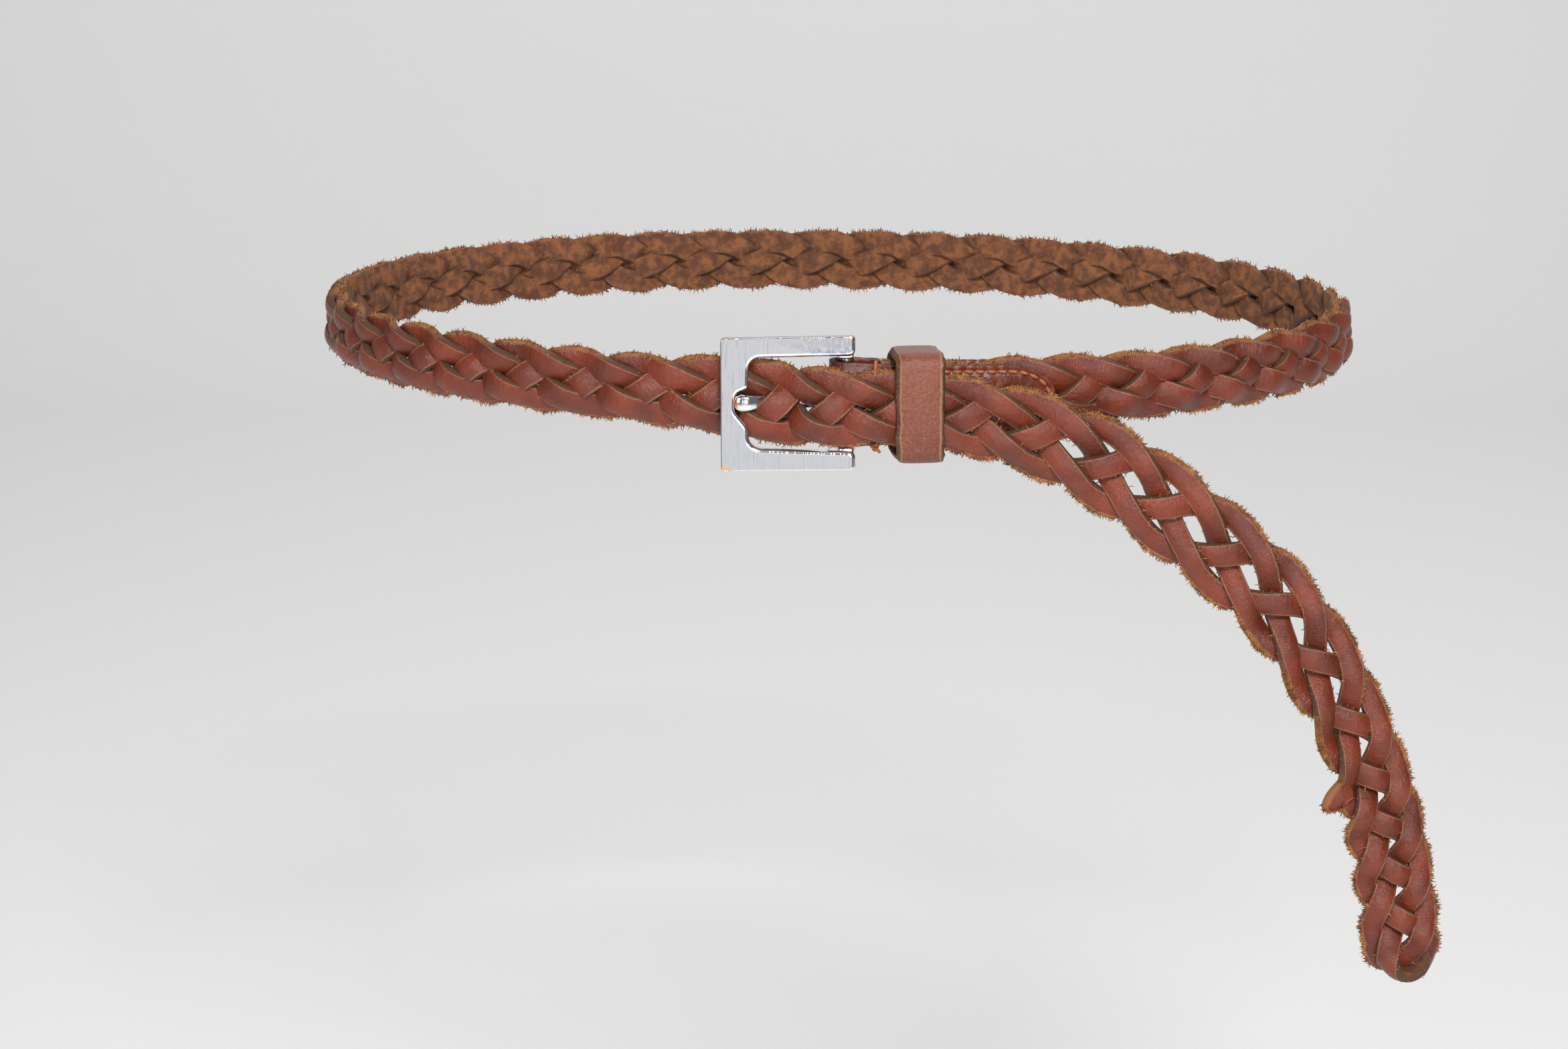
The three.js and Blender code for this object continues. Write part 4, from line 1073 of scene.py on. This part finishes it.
def buckle_front():
    """The C-shaped front: broad rounds on the window, the notch and the arm ends, and a narrow one outside."""
    top, arm, arm_end = BUCKLE_HEIGHT / 2, BUCKLE_HEIGHT / 2 - ARM_WIDTH, BUCKLE_HEIGHT / 2 - ARM_END_WIDTH
    outline = filleted([
        (BUCKLE_LEFT, -top - 0.6, 0.9), (BUCKLE_RIGHT, -top, 0.9), (BUCKLE_RIGHT, -arm_end, 1.7),
        (BAR_INSIDE, -arm, 3.4), (BAR_INSIDE, -6.6, 3.2), (BAR_INSIDE - NOTCH_DEPTH, -2.3, 2.0),
        (BAR_INSIDE - NOTCH_DEPTH, 2.5, 2.3),
        (BAR_INSIDE, 3.9, 1.3), (BAR_INSIDE, arm, 3.4), (BUCKLE_RIGHT, arm_end, 1.7), (BUCKLE_RIGHT, top + 0.4, 0.9),
        (BUCKLE_LEFT, top - 0.4, 0.9),
    ], 0.3)
    x, y = outline[:, 0], outline[:, 1]
    in_window = (x > BUCKLE_LEFT + 2.5) & (np.abs(y) < arm_end + 0.4) | (x > BUCKLE_RIGHT - 0.6)
    kernel = np.hanning(9) / np.hanning(9).sum()
    broad = np.convolve(np.concatenate([in_window[-4:], in_window, in_window[:4]]).astype(float), kernel, "valid")
    return plate_with_rounds(outline, 0.3 + 0.75 * broad, PLATE_BACK, PLATE_BACK + PLATE_THICKNESS)


def rounded_bar(start, end, half_x, half_y, power, rows=5):
    """A straight bar between two points along one axis: a superellipse carried along it, drawn in at both ends."""
    start, end = np.asarray(start, float), np.asarray(end, float)
    way = unit(end - start)
    side = square_to(np.array([[1.0, 0.02, 0.01]]), way[None])[0]
    other = np.cross(way, side)
    turn = np.linspace(0, 2 * np.pi, 24, endpoint=False)
    cos, sin = np.cos(turn), np.sin(turn)
    ring_x = np.sign(cos) * np.abs(cos) ** (2 / power) * half_x
    ring_y = np.sign(sin) * np.abs(sin) ** (2 / power) * half_y
    ring = np.stack([ring_x, ring_y], -1)
    part = np.concatenate([[0, 0.012, 0.05], np.linspace(0.1, 0.9, rows), [0.95, 0.988, 1]])
    draw = np.concatenate([[0.78, 0.93, 1], np.ones(rows), [1, 0.93, 0.78]])
    centre = start + part[:, None] * (end - start)
    flat = ring[None] * draw[:, None, None]
    return centre[:, None] + flat[..., :1] * side + flat[..., 1:] * other


def make_worn_plating():
    """Plated metal: pale nickel with faint clouds, hair scratches in two directions as height, and copper that
    shows through where a mask of wear and a little noise are high."""
    group, given, result = node_group(
        "worn_plating",
        [("Place", "NodeSocketVector", None), ("Worn", "NodeSocketFloat", 0.0), ("Dull", "NodeSocketFloat", 0.0)],
        [("Colour", "NodeSocketColor"), ("Roughness", "NodeSocketFloat"), ("Height", "NodeSocketFloat")],
    )
    clouds = noise(group, given.outputs["Place"], 260, 4.0, 0.6)
    scratches = []
    for turn, scale in (((0, 0.2, 0.5), (5200, 130, 130)), ((0, -0.3, -0.9), (4300, 90, 90))):
        aim = group.nodes.new("ShaderNodeMapping")
        aim.inputs["Rotation"].default_value = turn
        aim.inputs["Scale"].default_value = scale
        group.links.new(given.outputs["Place"], aim.inputs["Vector"])
        scratches.append(steps_between(group, noise(group, aim.outputs["Vector"], 1.0, 2.0, 0.5), 0.62, 0.72))
    lines = maths(group, "MAXIMUM", scratches[0], scratches[1])
    bright = blend_colours(group, clouds, (0.83, 0.83, 0.85), (0.66, 0.67, 0.71))
    stains = steps_between(group, noise(group, given.outputs["Place"], 900, 4.0, 0.6), 0.36, 0.6)
    dull = maths(group, "MULTIPLY", given.outputs["Dull"], stains)
    bright = blend_colours(group, dull, bright, (0.2, 0.22, 0.31))
    wear = maths(group, "ADD", given.outputs["Worn"], maths(group, "MULTIPLY", clouds, 0.45))
    bare = steps_between(group, wear, 0.62, 0.86)
    group.links.new(blend_colours(group, bare, bright, (0.86, 0.42, 0.24)), result.inputs["Colour"])
    rough = maths(group, "ADD", maths(group, "MULTIPLY", clouds, 0.14), 0.05)
    rough = maths(group, "ADD", rough, maths(group, "MULTIPLY", bare, 0.15))
    group.links.new(rough, result.inputs["Roughness"])
    group.links.new(maths(group, "MULTIPLY", lines, -0.6), result.inputs["Height"])
    return group


WORN_PLATING = make_worn_plating()


def make_plated_metal(name):
    """The plated metal's material, whose wear and dull patches are stored on the mesh's points."""
    material, tree, shader = new_material(name)
    masks = []
    for label in ("worn", "dull"):
        mask = tree.nodes.new("ShaderNodeAttribute")
        mask.attribute_name = label
        masks.append(mask.outputs["Fac"])
    plate = place_group(tree, WORN_PLATING, Place=object_place(tree), Worn=masks[0], Dull=masks[1])
    tree.links.new(plate.outputs["Colour"], shader.inputs["Base Color"])
    tree.links.new(plate.outputs["Roughness"], shader.inputs["Roughness"])
    shader.inputs["Metallic"].default_value = 1.0
    give_relief(tree, shader, plate.outputs["Height"], 0.25, 0.00005)
    return material


def mark_points(mesh, label, centres, sizes, strength=1.0):
    """Stores a mask on each point: the largest of some bell curves round centres in millimetres."""
    points = np.empty(len(mesh.vertices) * 3)
    mesh.vertices.foreach_get("co", points)
    points = points.reshape(-1, 1, 3) * 1000
    far = ((points - np.asarray(centres)[None]) ** 2).sum(-1)
    value = strength * np.exp(-far / np.asarray(sizes)[None] ** 2).max(1)
    attribute = mesh.attributes.new(label, "FLOAT", "POINT")
    attribute.data.foreach_set("value", value.astype(np.float32))


PLATED_METAL = make_plated_metal("plated_metal")
front_rings = buckle_place(buckle_front())
lug_low, lug_high = heel_in_buckle[2] - HEEL_BAR_RADIUS, PLATE_BACK + 0.6
buckle_parts = [mesh_from_grid("front", front_rings, closed_columns=True, caps=True)]
for side in (-1, 1):
    lug_foot, lug_head = ((heel_in_buckle[0], side * LUG_PLACE, height) for height in (lug_low, lug_high))
    lug = rounded_bar(lug_foot, lug_head, LUG_WIDTH / 2, LUG_HEIGHT / 2, LUG_POWER)
    buckle_parts.append(mesh_from_grid("lug", buckle_place(lug), closed_columns=True, caps=True))
bar_ends = ((heel_in_buckle[0], side * LUG_PLACE, heel_in_buckle[2]) for side in (-1, 1))
bar = rounded_bar(*bar_ends, HEEL_BAR_RADIUS, HEEL_BAR_RADIUS, 2)
buckle_parts.append(mesh_from_grid("heel_bar", buckle_place(bar), closed_columns=True, caps=True))
buckle_mesh = joined_mesh("buckle_metal", buckle_parts)
top = BUCKLE_HEIGHT / 2
face_height = PLATE_BACK + PLATE_THICKNESS
worn_places = buckle_place(np.array([
    (BUCKLE_LEFT, top, face_height), (BUCKLE_LEFT + 1.5, top, face_height), (BUCKLE_LEFT, -top, face_height),
    (BUCKLE_LEFT + 2.5, -top, face_height), (BUCKLE_RIGHT, top, face_height), (BUCKLE_RIGHT - 2, top, face_height),
    (BUCKLE_RIGHT, top - 3, face_height), (BUCKLE_LEFT, 6.0, face_height),
]))
mark_points(buckle_mesh, "worn", worn_places, [1.1, 0.9, 1.1, 0.9, 0.9, 0.7, 0.6, 0.4])
dull_places = buckle_place(np.array([
    (11.5, top - 2.2, face_height), (15, top - 2.4, face_height), (8, top - 2.6, face_height),
    (13.5, -top + 2.2, face_height),
]))
mark_points(buckle_mesh, "dull", dull_places, [2.5, 2.4, 1.6, 1.2])
buckle_piece = new_object("buckle_metal", buckle_mesh, PLATED_METAL)
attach(buckle_piece, "root")
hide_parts("buckle_frame")

# The prong: drawn wire, plated, bent into a ring round the heel bar and led under the braid and up through it
# to its rest in the notch. Its tip is worn to the copper.
PRONG_TIP_X = -13.6
PRONG_HEIGHTS = [(0, 0), (0.3, 0.25), (0.6, 0.36), (0.72, 0.43), (0.8, 0.78), (0.87, 1.05), (0.94, 1.08), (1, 1)]
PRONG_WIDTHS = [(0, 3.0), (0.7, 3.1), (0.8, 3.9), (0.92, 4.5), (1, 4.4)]
PRONG_THICKNESS = 2.1
NOTCH_FLOOR = 0.9
PRONG_PLAY = 0.35
PRONG_LINE_OFF = 0.95
PRONG_ROUNDED_TIP = 2.0
RING_HALF_THICKNESS = 0.65
RING_HALF_WIDTH = 1.5


def prong_shank():
    """The shank: an ellipse carried along a smooth line through its heights, wider towards the tip, which is
    rounded off by the square root of what is left of its last two millimetres."""
    root = heel_in_buckle[2] + HEEL_BAR_RADIUS + PRONG_PLAY + PRONG_LINE_OFF
    rest = PLATE_BACK + NOTCH_FLOOR + PRONG_PLAY + PRONG_LINE_OFF
    reach = heel_in_buckle[0] - PRONG_TIP_X
    shares, heights = np.array(PRONG_HEIGHTS).T
    knots = np.stack([heel_in_buckle[0] - shares * reach, 0 * shares, root + heights * (rest - root)], -1)
    knots = np.concatenate([2 * knots[:1] - knots[1:2], knots, 2 * knots[-1:] - knots[-2:-1]])
    line = smooth_line(knots, 600)
    share = (heel_in_buckle[0] - line[:, 0]) / reach
    near_tip = 1 - PRONG_ROUNDED_TIP / reach * np.linspace(1, 0, 9) ** 2
    places = np.concatenate([np.linspace(0, 1 - PRONG_ROUNDED_TIP / reach, 60)[:-1], near_tip])
    line = np.stack([np.interp(places, share, line[:, k]) for k in range(3)], -1)
    way = unit(np.gradient(line, axis=0))
    across = np.array([0, 1.0, 0])
    out = np.cross(across, way)
    left = np.clip((1 - places) * reach / PRONG_ROUNDED_TIP, 0.004, 1)
    tip = np.sqrt(1 - (1 - left) ** 2)
    half = np.interp(places, *zip(*PRONG_WIDTHS)) / 2 * (0.25 + 0.75 * tip)
    thick = PRONG_THICKNESS / 2 * (0.12 + 0.88 * tip)
    turn = np.linspace(0, 2 * np.pi, 20, endpoint=False)[None, :, None]
    power = 0.85
    wide = np.sign(np.cos(turn)) * np.abs(np.cos(turn)) ** power * half[:, None, None]
    high = np.sign(np.sin(turn)) * np.abs(np.sin(turn)) ** power * thick[:, None, None]
    return line[:, None] + wide * across + high * out[:, None]


def prong_ring():
    """The ring round the heel bar: a superellipse carried round a circle, closed on itself."""
    turn = np.linspace(0, 2 * np.pi, 40, endpoint=False)[:, None, None]
    round_section = np.linspace(0, 2 * np.pi, 14, endpoint=False)[None, :, None]
    cos, sin = np.cos(round_section), np.sin(round_section)
    middle = HEEL_BAR_RADIUS + PRONG_PLAY + RING_HALF_THICKNESS
    reach = middle + RING_HALF_THICKNESS * np.sign(cos) * np.abs(cos) ** 0.6
    across = RING_HALF_WIDTH * np.sign(sin) * np.abs(sin) ** 0.6
    x = heel_in_buckle[0] + reach * np.cos(turn)
    z = heel_in_buckle[2] + reach * np.sin(turn)
    return np.concatenate(np.broadcast_arrays(x, across, z), -1)


prong_mesh = joined_mesh("prong_metal", [
    mesh_from_grid("shank", buckle_place(prong_shank(), 0.0), closed_columns=True, caps=True),
    mesh_from_grid("ring", buckle_place(prong_ring(), 0.0), closed_rows=True, closed_columns=True),
])
tip_places = buckle_place(np.array([(PRONG_TIP_X, 0.4, face_height), (PRONG_TIP_X + 0.4, -0.6, face_height)]), 0.0)
mark_points(prong_mesh, "worn", tip_places, [1.6, 1.3])
mark_points(prong_mesh, "dull", tip_places, [0.1, 0.1], 0.0)
prong_piece = new_object("prong_metal", prong_mesh, PLATED_METAL)
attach(prong_piece, "root")
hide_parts("prong")

# The keeper: a band of thick, lighter leather closed in a loop round the tab and the free end. Its face carries
# fine pale specks that are painted highlights, and its edges are cut on a slant, dark and fibrous.
KEEPER_X = 19.1
KEEPER_HEIGHT = 29.3
KEEPER_DROP = 0.45
KEEPER_BACK = -7.2
KEEPER_FRONT = 13.35
KEEPER_CORNER = 3.5
KEEPER_THICKNESS = 2.1
KEEPER_FACE_HALF = 5.7
KEEPER_INSIDE_HALF = (6.8, 6.4)
KEEPER_BOW = 0.55


def keeper_rings():
    """A slanted section carried round a rounded rectangle whose front side bows out by a parabola. Both edges
    wander, and the face is a little crowned."""
    wall = KEEPER_THICKNESS / 2
    half = KEEPER_HEIGHT / 2 - wall
    back, front = KEEPER_BACK + wall, KEEPER_FRONT - wall
    radius = KEEPER_CORNER - wall
    line = filleted([(-half, back, radius), (half, back, radius), (half, front, radius), (-half, front, radius)], 0.55)
    rows = len(line)
    ahead = unit(np.roll(line, -1, 0) - np.roll(line, 1, 0))
    out = np.stack([ahead[:, 1], -ahead[:, 0]], -1)
    bow = KEEPER_BOW * np.clip(1 - (line[:, 0] / half) ** 2, 0, 1) * smooth(line[:, 1], back, front)
    line = line + np.stack([0 * bow, bow], -1)
    left, right = KEEPER_INSIDE_HALF
    f, r = KEEPER_FACE_HALF, 0.32
    section = np.array([
        (0, -wall), (right - 1.5, -wall), (right - r, -wall), (right, -wall + r), (right - 0.4, 0),
        (f + 0.12, wall - r), (f - 0.25 * r, wall - 0.2 * r), (f - 1.3 * r, wall + 0.02), (f * 0.7, wall + 0.16),
        (f * 0.35, wall + 0.2), (0, wall + 0.22), (-f * 0.35, wall + 0.2), (-f * 0.7, wall + 0.16),
        (-f + 1.3 * r, wall + 0.02), (-f + 0.25 * r, wall - 0.2 * r),
        (-f - 0.12, wall - r), (-left + 0.45, 0), (-left, -wall + r), (-left + r, -wall), (-left + 1.5, -wall),
    ])
    generator = np.random.default_rng(31)
    wander = [0.25 * smooth_noise(generator, rows + 1, 7) + 0.1 * smooth_noise(generator, rows + 1, 2.3)
              for _ in range(2)]
    fade = np.clip(np.minimum(np.arange(rows + 1), rows - np.arange(rows + 1)) / 6, 0, 1)
    right_move, left_move = (move * fade for move in wander)
    share = np.clip(section[:, 0] / 6, -1, 1)
    x = section[None, :, 0] + np.where(share > 0, right_move[:rows, None], left_move[:rows, None]) * np.abs(share)[None]
    across = line[:, None] + out[:, None] * section[None, :, 1:]
    local = np.concatenate([x[..., None], across[..., :1] - KEEPER_DROP, across[..., 1:]], -1)
    origin, axes = frame_at_x(KEEPER_X)
    ring = lengths_along(np.vstack([section, section[:1]]))
    uv = np.stack(np.broadcast_arrays(np.linspace(0, 1, rows + 1)[:, None], (ring / ring[-1])[None]), -1)
    return origin + local @ axes, uv


def make_keeper_leather():
    """The keeper's leather: the shared tone, pale specks painted on the face as highlights, a light line painted at
    the rims as a highlight and dark fibrous cut edges, told apart by how far round the section a point lies."""
    material, tree, shader = new_material("keeper_leather")
    place = object_place(tree)
    _, round_share = strip_place(tree)
    waver = maths(tree, "MULTIPLY", maths(tree, "SUBTRACT", noise(tree, place, 800, 3.0), 0.5), 0.02)
    from_face = maths(tree, "ADD", maths(tree, "ABSOLUTE", maths(tree, "SUBTRACT", round_share, 0.5)), waver)
    tone = place_group(tree, LEATHER_TONE, Place=place, Light=(0.2, 0.045, 0.016, 1), Dark=(0.11, 0.022, 0.009, 1))
    # The pale specks on the face are painted highlights; they are also a little rougher.
    specks = steps_between(tree, noise(tree, place, 1500, 5.0, 0.75), 0.5, 0.68)
    colour = blend_colours(tree, maths(tree, "MULTIPLY", specks, 0.38), tone.outputs["Colour"], (0.34, 0.14, 0.08))
    # The light line at the rims is a painted highlight on the rounded corners of the face.
    rim = maths(tree, "MULTIPLY", steps_between(tree, from_face, 0.172, 0.184), 0.55)
    colour = blend_colours(tree, rim, colour, (0.36, 0.17, 0.09))
    edge = steps_between(tree, from_face, 0.19, 0.2)
    fibres = noise(tree, place, 2300, 4.0, 0.7)
    cut = blend_colours(tree, steps_between(tree, fibres, 0.42, 0.7), (0.05, 0.022, 0.014), (0.26, 0.12, 0.045))
    colour = blend_colours(tree, edge, colour, cut)
    flesh = steps_between(tree, from_face, 0.285, 0.3)
    colour = blend_colours(tree, flesh, colour, (0.25, 0.1, 0.04))
    tree.links.new(colour, shader.inputs["Base Color"])
    rough = maths(tree, "ADD", maths(tree, "MULTIPLY", specks, 0.14), 0.27)
    tree.links.new(maths(tree, "ADD", rough, maths(tree, "MULTIPLY", edge, 0.35)), shader.inputs["Roughness"])
    relief = place_group(tree, LEATHER_RELIEF, Place=place, Strip=place, Wrinkles=0.0)
    ragged = maths(tree, "MULTIPLY", fibres, edge)
    give_relief(tree, shader, maths(tree, "ADD", relief.outputs["Height"], ragged), 0.6, 0.0003)
    return material


keeper_grid, keeper_uv = keeper_rings()
keeper_mesh = mesh_from_grid("keeper_leather", keeper_grid, closed_rows=True, closed_columns=True, uv=keeper_uv)
keeper_piece = new_object("keeper_leather", keeper_mesh, make_keeper_leather())
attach(keeper_piece, "root")
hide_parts("keeper")
